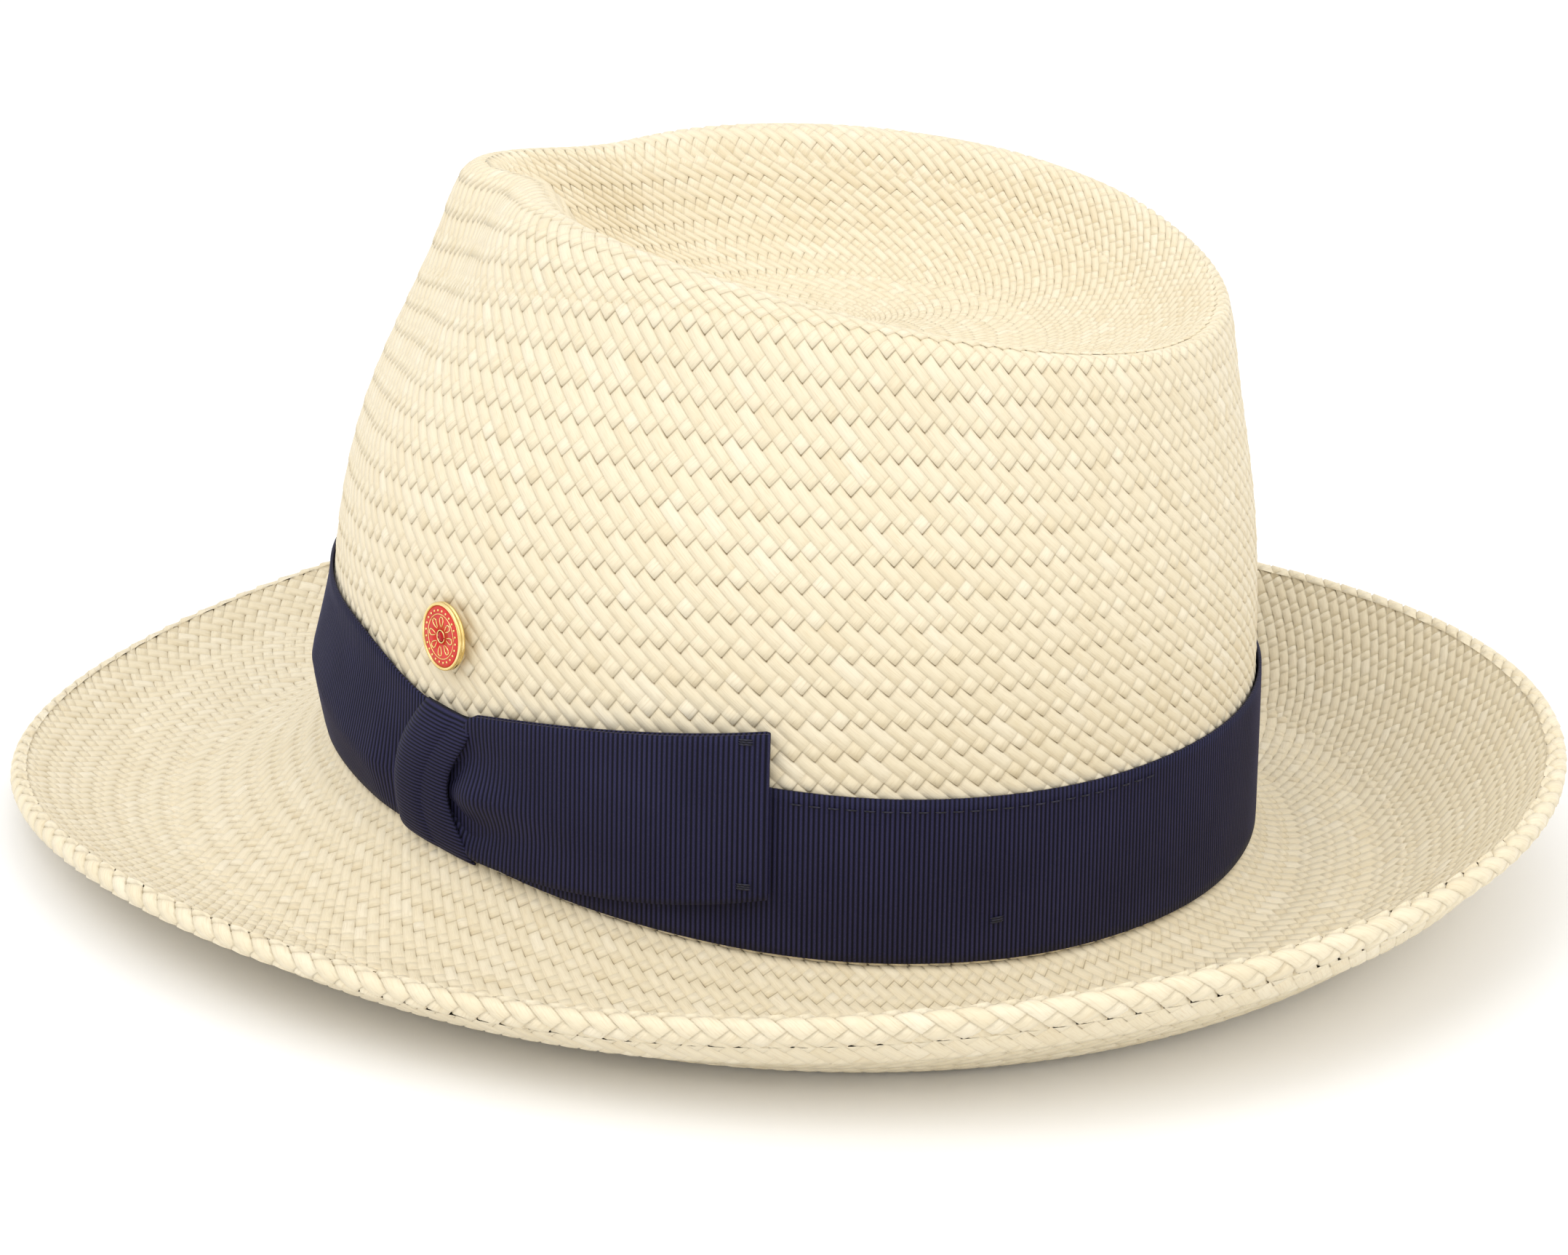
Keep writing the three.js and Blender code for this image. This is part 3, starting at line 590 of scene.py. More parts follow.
def joined(name, parts, material):
    """One mesh object from several (points, quads)."""
    points, quads, start = [], [], 0
    for some_points, some_quads in parts:
        points.append(some_points)
        quads.append(some_quads + start)
        start += len(some_points)
    return make_mesh(name, np.concatenate(points), np.concatenate(quads), material)


# ---- materials
def new_material(name):
    material = bpy.data.materials.new(name)
    material.use_nodes = True
    return material, material.node_tree, material.node_tree.nodes["Principled BSDF"]


def object_place(tree):
    return node(tree, "ShaderNodeTexCoord").outputs["Object"]


def node(tree, kind, **values):
    """A new shader node; each value goes to its input of that name, or else to its property."""
    made = tree.nodes.new(kind)
    for key, value in values.items():
        if key in made.inputs:
            made.inputs[key].default_value = value
        else:
            setattr(made, key, value)
    return made


def attribute(tree, name):
    return node(tree, "ShaderNodeAttribute", attribute_name=name)


def scaled(tree, source, factors):
    """A vector multiplied part by part."""
    made = node(tree, "ShaderNodeVectorMath", operation="MULTIPLY")
    tree.links.new(source, made.inputs[0])
    made.inputs[1].default_value = factors
    return made.outputs[0]


def noise(tree, vector, scale, detail=3.0, roughness=0.5):
    made = node(tree, "ShaderNodeTexNoise", Scale=scale, Detail=detail, Roughness=roughness)
    tree.links.new(vector, made.inputs["Vector"])
    return made.outputs["Fac"]


def ramp(tree, factor, stops):
    """A colour that follows the factor through the stops (place, colour)."""
    made = node(tree, "ShaderNodeValToRGB")
    elements = made.color_ramp.elements
    while len(elements) < len(stops):
        elements.new(0.5)
    for element, (place, colour) in zip(elements, stops):
        element.position = place
        element.color = (*colour, 1)
    tree.links.new(factor, made.inputs["Fac"])
    return made.outputs["Color"]


def mix(tree, factor, a, b):
    """A mix of two colours; each argument is a socket or a plain value."""
    made = node(tree, "ShaderNodeMix", data_type="RGBA")
    for socket, value in ((made.inputs[0], factor), (made.inputs[6], a), (made.inputs[7], b)):
        if isinstance(value, bpy.types.NodeSocket):
            tree.links.new(value, socket)
        elif isinstance(value, tuple):
            socket.default_value = (*value, 1)
        else:
            socket.default_value = value
    return made.outputs[2]


def stretch(tree, value, low, high, to_low=0.0, to_high=1.0):
    """The value's range low..high mapped to to_low..to_high."""
    limits = {"From Min": low, "From Max": high, "To Min": to_low, "To Max": to_high}
    made = node(tree, "ShaderNodeMapRange", **limits)
    tree.links.new(value, made.inputs["Value"])
    return made.outputs["Result"]


def bumped(tree, shader, height, distance, strength):
    """Fine relief that only the light sees; distance in metres."""
    made = node(tree, "ShaderNodeBump", Strength=strength, Distance=distance)
    tree.links.new(height, made.inputs["Height"])
    tree.links.new(made.outputs["Normal"], shader.inputs["Normal"])


STRAW_TINTS = [
    (0.0, (0.755, 0.652, 0.455)), (0.08, (0.785, 0.688, 0.492)),
    (0.85, (0.805, 0.712, 0.522)), (1.0, (0.83, 0.745, 0.565)),
]
# colour of the painted shade in the gaps between straws
GAP_SHADE_COLOUR = (0.22, 0.145, 0.055)


def straw_material(name):
    """Natural straw: each straw has its own tint and fine fibres along it; the gaps between straws get
    painted shade.
    """
    material, tree, shader = new_material(name)
    fibre = attribute(tree, "fibre").outputs["Vector"]
    streaks = noise(tree, scaled(tree, fibre, (0.7, 14.0, 90.0)), 1.0, 4.0, 0.6)
    blotches = noise(tree, scaled(tree, fibre, (1.2, 1.6, 40.0)), 1.0, 2.0)
    seed = attribute(tree, "straw").outputs["Fac"]
    tint = ramp(tree, seed, STRAW_TINTS)
    streaked = mix(tree, stretch(tree, streaks, 0.5, 0.78, 0.0, 0.5), tint, (0.58, 0.44, 0.26))
    aged = mix(tree, stretch(tree, blotches, 0.55, 0.8, 0.0, 0.25), streaked, (0.70, 0.58, 0.36))
    depth = attribute(tree, "depth").outputs["Fac"]
    # painted shade: the more open the weave, the darker, most along the lower edges of the rows of short
    # straws and at the open corners
    gap_shade_mask = stretch(tree, depth, 0.25, 0.95)
    colour = mix(tree, gap_shade_mask, aged, GAP_SHADE_COLOUR)
    tree.links.new(colour, shader.inputs["Base Color"])
    rough = stretch(tree, streaks, 0.3, 0.7, 0.5, 0.68)
    tree.links.new(rough, shader.inputs["Roughness"])
    shader.inputs["Specular IOR Level"].default_value = 0.35
    shader.inputs["Sheen Weight"].default_value = 0.12
    bumped(tree, shader, streaks, 0.00012, 0.6)
    return material


def ribbon_material(name):
    """Navy grosgrain: crosswise ribs modelled in the mesh, with the yarn's own fine grain here, and painted
    shade in the grooves between the ribs.
    """
    material, tree, shader = new_material(name)
    place = attribute(tree, "weft").outputs["Vector"]
    yarn = noise(tree, scaled(tree, place, (9.0, 2.4, 1.0)), 1.0, 3.0, 0.6)
    shade = noise(tree, scaled(tree, place, (0.05, 0.06, 1.0)), 1.0, 2.0)
    rib = attribute(tree, "rib").outputs["Fac"]
    crest = mix(tree, stretch(tree, shade, 0.3, 0.7), (0.018, 0.017, 0.055), (0.027, 0.026, 0.078))
    lit = mix(tree, stretch(tree, yarn, 0.45, 0.75, 0.0, 0.5), crest, (0.06, 0.058, 0.13))
    # painted shade: near black in the grooves between ribs, the navy with its yarn on the rib tops
    colour = mix(tree, stretch(tree, rib, 0.35, 1.0, 0.0, 1.0), (0.003, 0.003, 0.009), lit)
    tree.links.new(colour, shader.inputs["Base Color"])
    tree.links.new(stretch(tree, yarn, 0.3, 0.7, 0.5, 0.68), shader.inputs["Roughness"])
    shader.inputs["Sheen Weight"].default_value = 0.02
    shader.inputs["Specular IOR Level"].default_value = 0.12
    bumped(tree, shader, yarn, 0.00008, 0.5)
    return material


def thread_material(name, colour, light):
    """Twisted sewing thread."""
    material, tree, shader = new_material(name)
    place = object_place(tree)
    twist = node(tree, "ShaderNodeTexWave", bands_direction="DIAGONAL", Scale=900.0, Distortion=1.5)
    tree.links.new(place, twist.inputs["Vector"])
    tree.links.new(mix(tree, twist.outputs["Fac"], colour, light), shader.inputs["Base Color"])
    shader.inputs["Roughness"].default_value = 0.7
    bumped(tree, shader, twist.outputs["Fac"], 0.00008, 0.6)
    return material


def metal_material(name, colour, light, roughness):
    """Polished metal with fine scratches and a little wear."""
    material, tree, shader = new_material(name)
    place = object_place(tree)
    fine = noise(tree, place, 1400.0, 4.0, 0.6)
    worn = noise(tree, place, 260.0, 3.0)
    tree.links.new(mix(tree, stretch(tree, worn, 0.4, 0.7), colour, light), shader.inputs["Base Color"])
    tree.links.new(stretch(tree, fine, 0.3, 0.7, roughness, roughness + 0.14), shader.inputs["Roughness"])
    shader.inputs["Metallic"].default_value = 1.0
    bumped(tree, shader, fine, 0.00002, 0.3)
    return material


def enamel_material(name, colour, deep):
    """Glassy colour, a little cloudy."""
    material, tree, shader = new_material(name)
    place = object_place(tree)
    cloud = noise(tree, place, 420.0, 3.0)
    tree.links.new(mix(tree, stretch(tree, cloud, 0.35, 0.7), colour, deep), shader.inputs["Base Color"])
    tree.links.new(stretch(tree, cloud, 0.3, 0.7, 0.12, 0.24), shader.inputs["Roughness"])
    shader.inputs["Specular IOR Level"].default_value = 0.22
    shader.inputs["Coat Weight"].default_value = 0.12
    shader.inputs["Coat Roughness"].default_value = 0.05
    return material


def cloth_material(name, colour, light):
    """Plain woven cotton."""
    material, tree, shader = new_material(name)
    place = object_place(tree)
    waves = []
    for direction in ("X", "Z"):
        wave = node(tree, "ShaderNodeTexWave", bands_direction=direction, Scale=1100.0, Distortion=0.8)
        tree.links.new(place, wave.inputs["Vector"])
        waves.append(wave.outputs["Fac"])
    product = node(tree, "ShaderNodeMath", operation="MULTIPLY")
    tree.links.new(waves[0], product.inputs[0])
    tree.links.new(waves[1], product.inputs[1])
    threads = product.outputs[0]
    stain = noise(tree, place, 35.0, 3.0)
    base = mix(tree, stretch(tree, stain, 0.35, 0.7), colour, light)
    woven = mix(tree, stretch(tree, threads, 0.0, 1.0, 0.0, 0.25), base, colour)
    tree.links.new(woven, shader.inputs["Base Color"])
    shader.inputs["Roughness"].default_value = 0.85
    shader.inputs["Sheen Weight"].default_value = 0.2
    bumped(tree, shader, threads, 0.0001, 0.5)
    return material


def paper_material(name):
    material, tree, shader = new_material(name)
    place = object_place(tree)
    pulp = noise(tree, place, 700.0, 5.0, 0.7)
    tree.links.new(mix(tree, pulp, (0.86, 0.84, 0.78), (0.93, 0.92, 0.88)), shader.inputs["Base Color"])
    shader.inputs["Roughness"].default_value = 0.65
    bumped(tree, shader, pulp, 0.00004, 0.4)
    return material


STRAW_MATERIAL = straw_material("straw")
NAVY = ribbon_material("navy_grosgrain")
NAVY_THREAD = thread_material("navy_thread", (0.003, 0.003, 0.008), (0.018, 0.018, 0.04))
CREAM_THREAD = thread_material("cream_thread", (0.70, 0.64, 0.52), (0.88, 0.84, 0.75))
GOLD = metal_material("gold", (0.86, 0.64, 0.25), (0.95, 0.77, 0.38), 0.16)
STEEL = metal_material("steel", (0.48, 0.49, 0.50), (0.62, 0.63, 0.64), 0.28)
ENAMEL = enamel_material("red_enamel", (0.66, 0.030, 0.020), (0.56, 0.020, 0.014))
STONE = enamel_material("red_stone", (0.50, 0.002, 0.004), (0.36, 0.0, 0.002))
SWEAT_CLOTH = cloth_material("sweat_cloth", (0.66, 0.60, 0.48), (0.78, 0.73, 0.62))
PAPER = paper_material("paper")


# ---- straw body
def levels_for(length, level):
    """The whole number of levels, in threes, that fits a length."""
    return max(3, 3 * round(length / level / 3))


def straw_piece(name, count, surface_and_length, relief=1.0, inside=False, levels=None, tucked=False,
                over=False, level=LEVEL, lean=CROWN_LEAN):
    """One sheet of the hat's weave; count is the number of crossings in a ring."""
    surface, length = surface_and_length
    shown = inner_side(surface) if inside else surface
    steps = COARSE_STEPS if inside else FINE_STEPS
    levels = levels or levels_for(length, level)
    obj = weave(name, count, levels, shown, STRAW_MATERIAL, relief, steps, tucked, over, lean)
    if inside:
        obj.data.flip_normals()
    return finish_piece(obj, "hat", "straw")


def lowest_row(a):
    """The rows start on a slant, behind the ribbon, a little higher at the back."""
    return side_parameter(a, 38 - 3 * np.cos(radians(a)) - break_height(a))


def slanted_end(middle, slant, further=0.0):
    """The end of a sheet, in the spline's parameter, which comes later at the back."""
    def end(a):
        return middle + further - slant * np.cos(radians(a))
    return end


BRIM_MIDDLE = 0.56  # share of the brim's width where more straws were added
EDGE_BRAID = 10.5  # how much of the turned edge the big braid covers
HEM_SHARE = 1 - (HEM_WIDTH - 1.0) / BRIM_WIDTH
SIDE_TOP, SIDE_SLANT = 0.40, 0.085
TIP_START, TIP_SLANT = 0.56, 0.045
TIP_MIDDLE, TIP_END = 0.72, 0.88
UNDER_NEXT = 0.016  # how far each sheet goes on under the next, in the spline's parameter
UNDER_NEXT_BRIM = 3.2 / BRIM_WIDTH

side_sheet = crown_surface(lowest_row, slanted_end(SIDE_TOP, SIDE_SLANT, UNDER_NEXT))
crest_sheet = crown_surface(slanted_end(SIDE_TOP, SIDE_SLANT), slanted_end(TIP_START, TIP_SLANT, UNDER_NEXT))
tip_outer = crown_surface(slanted_end(TIP_START, TIP_SLANT), TIP_MIDDLE + UNDER_NEXT)
tip_middle = crown_surface(TIP_MIDDLE, TIP_END + UNDER_NEXT)
tip_centre = crown_surface(TIP_END, 1.0)
brim_inner = brim_surface(0.0, BRIM_MIDDLE)
brim_outer = brim_surface(BRIM_MIDDLE - UNDER_NEXT_BRIM, 1.0)
hem_sheet = edge_surface(EDGE_BRAID, HEM_END + HEM_END_RISE)

crown_side = straw_piece("straw_crown_side", CROWN_COUNT, side_sheet, tucked=True)
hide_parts("straw_body")
straw_piece("straw_crown_base", CROWN_COUNT, crown_surface(0.0, lowest_row), levels=6)
straw_piece("straw_crown_crest", 150, crest_sheet, tucked=True, over=True, level=CREST_LEVEL)
straw_piece("straw_tip_outer", 129, tip_outer, 0.9, tucked=True, over=True, level=TIP_LEVEL)
straw_piece("straw_tip_middle", 81, tip_middle, 0.8, tucked=True, over=True, level=TIP_LEVEL)
straw_piece("straw_tip_centre", 33, tip_centre, 0.5, over=True, level=TIP_LEVEL)
straw_piece("straw_brim_inner", 210, brim_inner, over=True, level=BRIM_LEVEL, lean=0.0)
straw_piece("straw_brim_outer", 270, brim_outer, tucked=True, level=BRIM_LEVEL, lean=0.0)
straw_piece("straw_edge_braid", 174, edge_surface(0.0, EDGE_BRAID), 1.7, levels=4, lean=0.0)
straw_piece("straw_hem", 216, hem_sheet, 0.6, levels=4, lean=0.0)
straw_piece("straw_brim_under", 186, brim_surface(0.0, HEM_SHARE), inside=True)
straw_piece("straw_inner_corner", 168, corner_surface(), 0.4, inside=True, levels=2, lean=0.0)
straw_piece("straw_crown_inside", CROWN_COUNT, crown_surface(0.0, TIP_START), inside=True)
straw_piece("straw_tip_inside", 78, crown_surface(TIP_START, TIP_END), 0.8, inside=True)
straw_piece("straw_tip_inside_centre", 24, tip_centre, 0.6, inside=True)


# ---- band and its stitching
def band_top(a):
    """The ribbon's upper edge, pulled down a little under the knot."""
    return RIBBON_START + RIBBON_WIDTH - KNOT_SQUEEZE * bump(a, KNOT_ANGLE, KNOT_SQUEEZE_SPREAD)


BAND_MIDDLE = RIBBON_GAP + RIBBON_THICKNESS / 2
BAND_FACE = RIBBON_GAP + RIBBON_THICKNESS
CREASE_DEPTH = 3.3


def band_belly(a, h):
    """The ribbon stands off in a soft crease low on the front left, where the knot pulls it."""
    crease = 17 - 6.5 * smooth((a - 30) / 30)
    reach = smooth((a - 8) / 26) * smooth((66 - a) / 8)
    below, above = np.clip((crease - h) / crease, 0, 1), np.clip((h - crease) / 17, 0, 1)
    return CREASE_DEPTH * reach * (1 - above) ** 1.2 * (1 - below) ** 0.9


def place_band(s, v):
    a = s * 360
    h = RIBBON_START + v * (band_top(a) - RIBBON_START)
    waves = 0.10 * np.sin(radians(a * 5) + 3 * v) + 0.07 * np.sin(radians(a * 13) - 2 * v)
    return on_side(a, h, BAND_MIDDLE + 0.15 + waves + band_belly(a % 360, h))


BAND_LENGTH = 598.0
band = strip("hat_band_ribbon", place_band, BAND_LENGTH, RIBBON_WIDTH, 17, NAVY, closed=True)
finish_piece(band, "hat", "navy_ribbon", "hat_band")


def stitch(a, h, off, length, tilt=0.0, radius=0.16, steps=7):
    """One stitch lying on the hat's side; tilt raises its far end, in millimetres."""
    t = np.linspace(-0.5, 0.5, steps)
    angle = a + t * length / HEAD_HALF_LENGTH * 180 / math.pi
    rise = 0.22 * np.sqrt(np.clip(1 - (2 * t) ** 2, 0, 1)) - 0.12
    return tube(on_side(angle, h + t * tilt, off + rise), radius)


def running_stitch():
    """The stitches that show between the bow's end and the back."""
    places = np.arange(LOOP_END_ANGLE + 3.5, 163, 2.05)
    return [stitch(a, float(band_top(a)) - 2.5, BAND_FACE + 0.45, 2.5) for a in places]


stitches = joined("band_running_stitch", running_stitch(), NAVY_THREAD)
finish_piece(stitches, "hat", "navy_thread", "band_thread")


def tack_piece(name, a, h, off, node_name):
    """Three threads side by side, as a hand-sewn tack."""
    rows = [stitch(a, h + 0.45 * k, off, 3.0, 0.3, 0.2) for k in (-1, 0, 1)]
    finish_piece(joined(name, rows, NAVY_THREAD), "hat", "navy_thread", node_name)


for where, angle in (("left", 140), ("right", 215), ("front", 330)):
    tack_piece(f"tack_{where}", angle, 10, BAND_FACE + 0.4, f"band_tack_{where}")


# ---- bow
LOOP_FOLD_RADIUS = 0.75
LOOP_TURNS = LOOP_END_ANGLE - LOOP_START_ANGLE
LOOP_FRONT_LENGTH = 68.0
LOOP_LENGTH = 2 * LOOP_FRONT_LENGTH + math.pi * LOOP_FOLD_RADIUS


def blend(a, b, t):
    return a + (b - a) * t


def loop_span(u):
    """Lower and upper edge of the loop's ribbon, u from the knot to the fold."""
    fan = smooth(u / 0.13)
    u = np.clip(u, 0, 1)
    return blend(9.5, 1.6 + 11.9 * u**1.9, fan), blend(19.5, 30.3 + 18.2 * u**0.9, fan)


def loop_lift(u, v):
    """How far the loop's front stands off: one central pleat at the knot, with a hollow on each side."""
    near_knot = 1 - smooth(u / 0.42)
    pleat = 2.4 * bump(v, 0.44, 0.11) * near_knot * smooth((u - 0.03) / 0.12)
    hollows = (2.1 * bump(v, 0.2, 0.1) + 1.5 * bump(v, 0.72, 0.13)) * (1 - smooth(u / 0.33))
    fold_line = 0.5 * bump(v - 0.34 + 0.25 * u, 0, 0.12) * smooth(u / 0.2) * (1 - smooth((u - 0.25) / 0.4))
    return 2.0 + 0.8 * smooth(u / 0.1) + 0.8 * smooth(u) + pleat - hollows * smooth(u / 0.05) - fold_line


def place_loop(s, v):
    """The ribbon runs out from the knot on the front, turns at the fold and comes back behind."""
    d = s * LOOP_LENGTH
    turning = np.clip((d - LOOP_FRONT_LENGTH) / LOOP_FOLD_RADIUS, 0, math.pi)
    front = d < LOOP_FRONT_LENGTH
    u = np.where(front, d, LOOP_LENGTH - d) / LOOP_FRONT_LENGTH
    u = np.where((turning > 0) & (turning < math.pi), 1.0, u)
    low, high = loop_span(u)
    back_off = BAND_FACE + 0.55 + 0.5 * smooth(u)
    end_middle = loop_lift(np.ones_like(u), v) - LOOP_FOLD_RADIUS
    off = np.where(front, loop_lift(u, v), back_off)
    off = np.where((turning > 0) & (turning < math.pi), end_middle + LOOP_FOLD_RADIUS * np.cos(turning), off)
    end_blend = smooth((u - 0.8) / 0.2)
    off = np.where(turning >= math.pi, blend(back_off, end_middle - LOOP_FOLD_RADIUS, end_blend), off)
    reach = LOOP_FOLD_RADIUS * np.sin(turning) / HEAD_HALF_LENGTH * 180 / math.pi
    return on_side(LOOP_START_ANGLE - 1 + (LOOP_TURNS + 1) * u + reach, low + v * (high - low), off)


loop = strip("bow_loop_ribbon", place_loop, LOOP_LENGTH, RIBBON_WIDTH, 25, NAVY)
finish_piece(loop, "hat", "navy_ribbon", "bow_loop")

# The knot's edges, in degrees, at five heights from its bottom to its top.
KNOT_HEIGHTS = (0, 7, 15, 22, 31)
KNOT_LEFT = (64.5, 64.3, 64.6, 66.0, 69.0)
KNOT_FRONT_RIGHT = (72.4, 70.6, 70.6, 72.2, 75.2)
KNOT_UNDER_RIGHT = (76.9, 75.0, 73.6, 74.8, 76.8)
KNOT_LENGTH = 38.0


def through(values):
    """A smooth curve through the five values at the knot's heights."""
    return np.poly1d(np.polyfit(KNOT_HEIGHTS, values, 4))


def knot_layer(left, right, lift, droop):
    """One layer of the crossing ribbon, which rises off the hat between its ends and droops at its edges."""
    left_at, right_at = through(left), through(right)

    def place(s, v):
        h = 0.1 + 31.2 * np.clip(s, 0, 1)
        a = right_at(h) + (left_at(h) - right_at(h)) * v
        rise = np.sin(math.pi * np.clip(s, 0.0005, 0.9995)) ** 0.33
        across = 1 - droop * np.abs(2 * v - 1) ** 3
        return on_side(a, h, 0.95 + lift * rise * across)

    return place


place_front = knot_layer(KNOT_LEFT, KNOT_FRONT_RIGHT, 4.3, 0.35)
knot_front = strip("bow_knot_front", place_front, KNOT_LENGTH, 11.0, 13, NAVY)
finish_piece(knot_front, "hat", "navy_ribbon", "bow_knot")
place_under = knot_layer(tuple(a + 1.2 for a in KNOT_LEFT), KNOT_UNDER_RIGHT, 3.5, 0.22)
knot_under = strip("bow_knot_under", place_under, KNOT_LENGTH, 13.0, 13, NAVY)
finish_piece(knot_under, "hat", "navy_ribbon")

loop_low, loop_high = (float(x) for x in loop_span(1.0))
LOOP_TACK_OFF = float(loop_lift(1.0, 0.5)) + RIBBON_THICKNESS / 2 + 0.3
tack_piece("tack_bow_top", LOOP_END_ANGLE - 2, loop_high - 2, LOOP_TACK_OFF, "bow_tack_top")
tack_piece("tack_bow_bottom", LOOP_END_ANGLE - 2, loop_low + 2.5, LOOP_TACK_OFF, "bow_tack_bottom")


# ---- badge
badge_joint = next(joint for joint in frame["joints"] if joint["name"] == "badge_turn")
BADGE_SEAT = np.array(badge_joint["pos_m"]) / MM - [0, ORIGIN_SHIFT_Y, 0]
BADGE_AXIS = unit(np.array(badge_joint["axis"], float))
BADGE_RIGHT = unit(np.cross([0, 0, 1.0], BADGE_AXIS))
BADGE_UP = np.cross(BADGE_AXIS, BADGE_RIGHT)
ENAMEL_TOP = 2.86


def on_badge(points):
    """Points in the badge's own frame, z along its axis, placed on the hat."""
    points = np.asarray(points, float)
    return BADGE_SEAT + points[:, :1] * BADGE_RIGHT + points[:, 1:2] * BADGE_UP + points[:, 2:] * BADGE_AXIS


def turned(profile, sides):
    """(points, quads) of a profile of (radius, z) turned round the badge's axis."""
    turn = np.arange(sides) * 2 * math.pi / sides
    rings = [np.stack([r * np.cos(turn), r * np.sin(turn), np.full(sides, z)], 1) for r, z in profile]
    return on_badge(np.concatenate(rings)), ring_quads(len(profile), sides)


def clean(obj):
    """Merges the points that meet on the axis."""
    made = bmesh.new()
    made.from_mesh(obj.data)
    bmesh.ops.remove_doubles(made, verts=made.verts, dist=2e-6)
    bmesh.ops.recalc_face_normals(made, faces=made.faces)
    made.to_mesh(obj.data)
    made.free()


def turned_piece(name, profile, sides, material, slot, body, node_name, smooth_faces=True):
    obj = joined(name, [turned(profile, sides)], material)
    clean(obj)
    if not smooth_faces:
        obj.data.polygons.foreach_set("use_smooth", np.zeros(len(obj.data.polygons), bool))
    return finish_piece(obj, body, slot, node_name)


# Profiles as (radius, z), with z along the badge's axis from its seat on the straw.
BADGE_PROFILE = [
    (0, -9.5), (0.25, -9.4), (0.6, -8.6), (0.6, 1.4), (6.55, 1.4), (6.85, 1.5), (7.0, 1.75), (7.0, 2.0),
    (6.85, 2.12), (6.85, 2.24), (7.0, 2.36), (7.0, 2.75), (6.88, 2.94), (6.65, 3.0), (6.42, 2.96),
    (6.3, 2.82), (6.3, 2.3), (0, 2.3),
]
ENAMEL_PROFILE = [
    (1.35, 2.34), (6.26, 2.34), (6.26, 2.8), (5.8, ENAMEL_TOP - 0.02), (3.5, ENAMEL_TOP),
    (1.35, ENAMEL_TOP), (1.35, 2.34),
]
STONE_PROFILE = [(0, 2.34), (1.05, 2.4), (1.1, 2.8), (0.95, 2.98), (0.55, 3.2), (0, 3.2)]
CLUTCH_PROFILE = [
    (0.68, -2.7), (4.3, -2.7), (4.5, -2.85), (4.5, -3.4), (4.25, -3.6), (2.7, -4.15), (2.25, -4.7),
    (2.05, -6.6), (1.7, -7.05), (0.68, -7.1), (0.68, -2.7),
]
turned_piece("badge_body", BADGE_PROFILE, 96, GOLD, "gold", "badge", "badge_disc")
turned_piece("badge_enamel_face", ENAMEL_PROFILE, 96, ENAMEL, "red_enamel", "badge", "badge_enamel")
turned_piece("badge_cut_stone", STONE_PROFILE, 8, STONE, "red_stone", "badge", "badge_stone",
             smooth_faces=False)
turned_piece("badge_clutch_body", CLUTCH_PROFILE, 64, GOLD, "gold", "clutch", "badge_clutch")


def petal(middle, inner, outer, half_width):
    """A closed outline of one petal, standing out of the enamel."""
    t = np.linspace(0.02, 0.98, 21)
    out = inner + (outer - inner) * np.sin(math.pi * t)
    side = half_width * np.sin(2 * math.pi * t)
    x = out * math.cos(middle) - side * math.sin(middle)
    y = out * math.sin(middle) + side * math.cos(middle)
    return tube(on_badge(np.stack([x, y, np.full(21, ENAMEL_TOP + 0.03)], 1)), 0.15)


def ring_line(radius, thickness):
    """A thin gold line round the enamel."""
    turn = np.linspace(0, 2 * math.pi, 73)
    height = np.full(73, ENAMEL_TOP + 0.02)
    return tube(on_badge(np.stack([radius * np.cos(turn), radius * np.sin(turn), height], 1)), thickness)


def bead(turn, radius, size):
    """A small gold ball, half sunk in the enamel."""
    x, y = radius * math.cos(turn), radius * math.sin(turn)
    z = np.linspace(-size, size, 7)
    round_off = np.sqrt(np.clip(size**2 - z**2, 0, None)) + 0.01
    points = on_badge(np.stack([np.full(7, x), np.full(7, y), ENAMEL_TOP + 0.02 + z], 1))
    ring = np.arange(8) * math.pi / 4
    spread = np.cos(ring)[None, :, None] * BADGE_RIGHT + np.sin(ring)[None, :, None] * BADGE_UP
    grown = points[:, None] + spread * round_off[:, None, None]
    return grown.reshape(-1, 3), ring_quads(7, 8)


PETALS = 8
PETAL_INNER, PETAL_OUTER, PETAL_HALF_WIDTH = 1.75, 4.1, 0.62
BEADS = 24
BEAD_CIRCLE, BEAD_SIZE = 5.35, 0.26
petal_turns = [k * 2 * math.pi / PETALS for k in range(PETALS)]
ornament = [petal(turn, PETAL_INNER, PETAL_OUTER, PETAL_HALF_WIDTH) for turn in petal_turns]
ornament += [bead(k * 2 * math.pi / BEADS, BEAD_CIRCLE, BEAD_SIZE) for k in range(BEADS)]
ornament += [ring_line(4.6, 0.12), ring_line(1.28, 0.16)]
finish_piece(joined("badge_rosette", ornament, GOLD), "badge", "gold")


# ---- inside
INNER_WALL = -(STRAW + SWEATBAND_GAP)
SWEAT_MIDDLE = INNER_WALL - SWEATBAND_THICKNESS / 2
INSIDE_FACE = INNER_WALL - SWEATBAND_THICKNESS
SEAM_HALF_GAP = 0.3
SWEAT_LENGTH = 594.0
SWEAT_WIDTH = SWEATBAND_HEIGHT - SWEATBAND_START


def place_sweatband(s, v):
    """The band runs round from its seam at the back; v goes down."""
    a = 180 + SEAM_HALF_GAP + (360 - 2 * SEAM_HALF_GAP) * s
    roll = 0.5 * smooth((0.08 - v) / 0.08) + 0.3 * smooth((v - 0.94) / 0.06)
    waves = 0.12 * np.sin(radians(a * 7)) * v
    return on_side(a, SWEATBAND_HEIGHT - SWEAT_WIDTH * v, SWEAT_MIDDLE + 0.1 - waves - roll * 0.4)


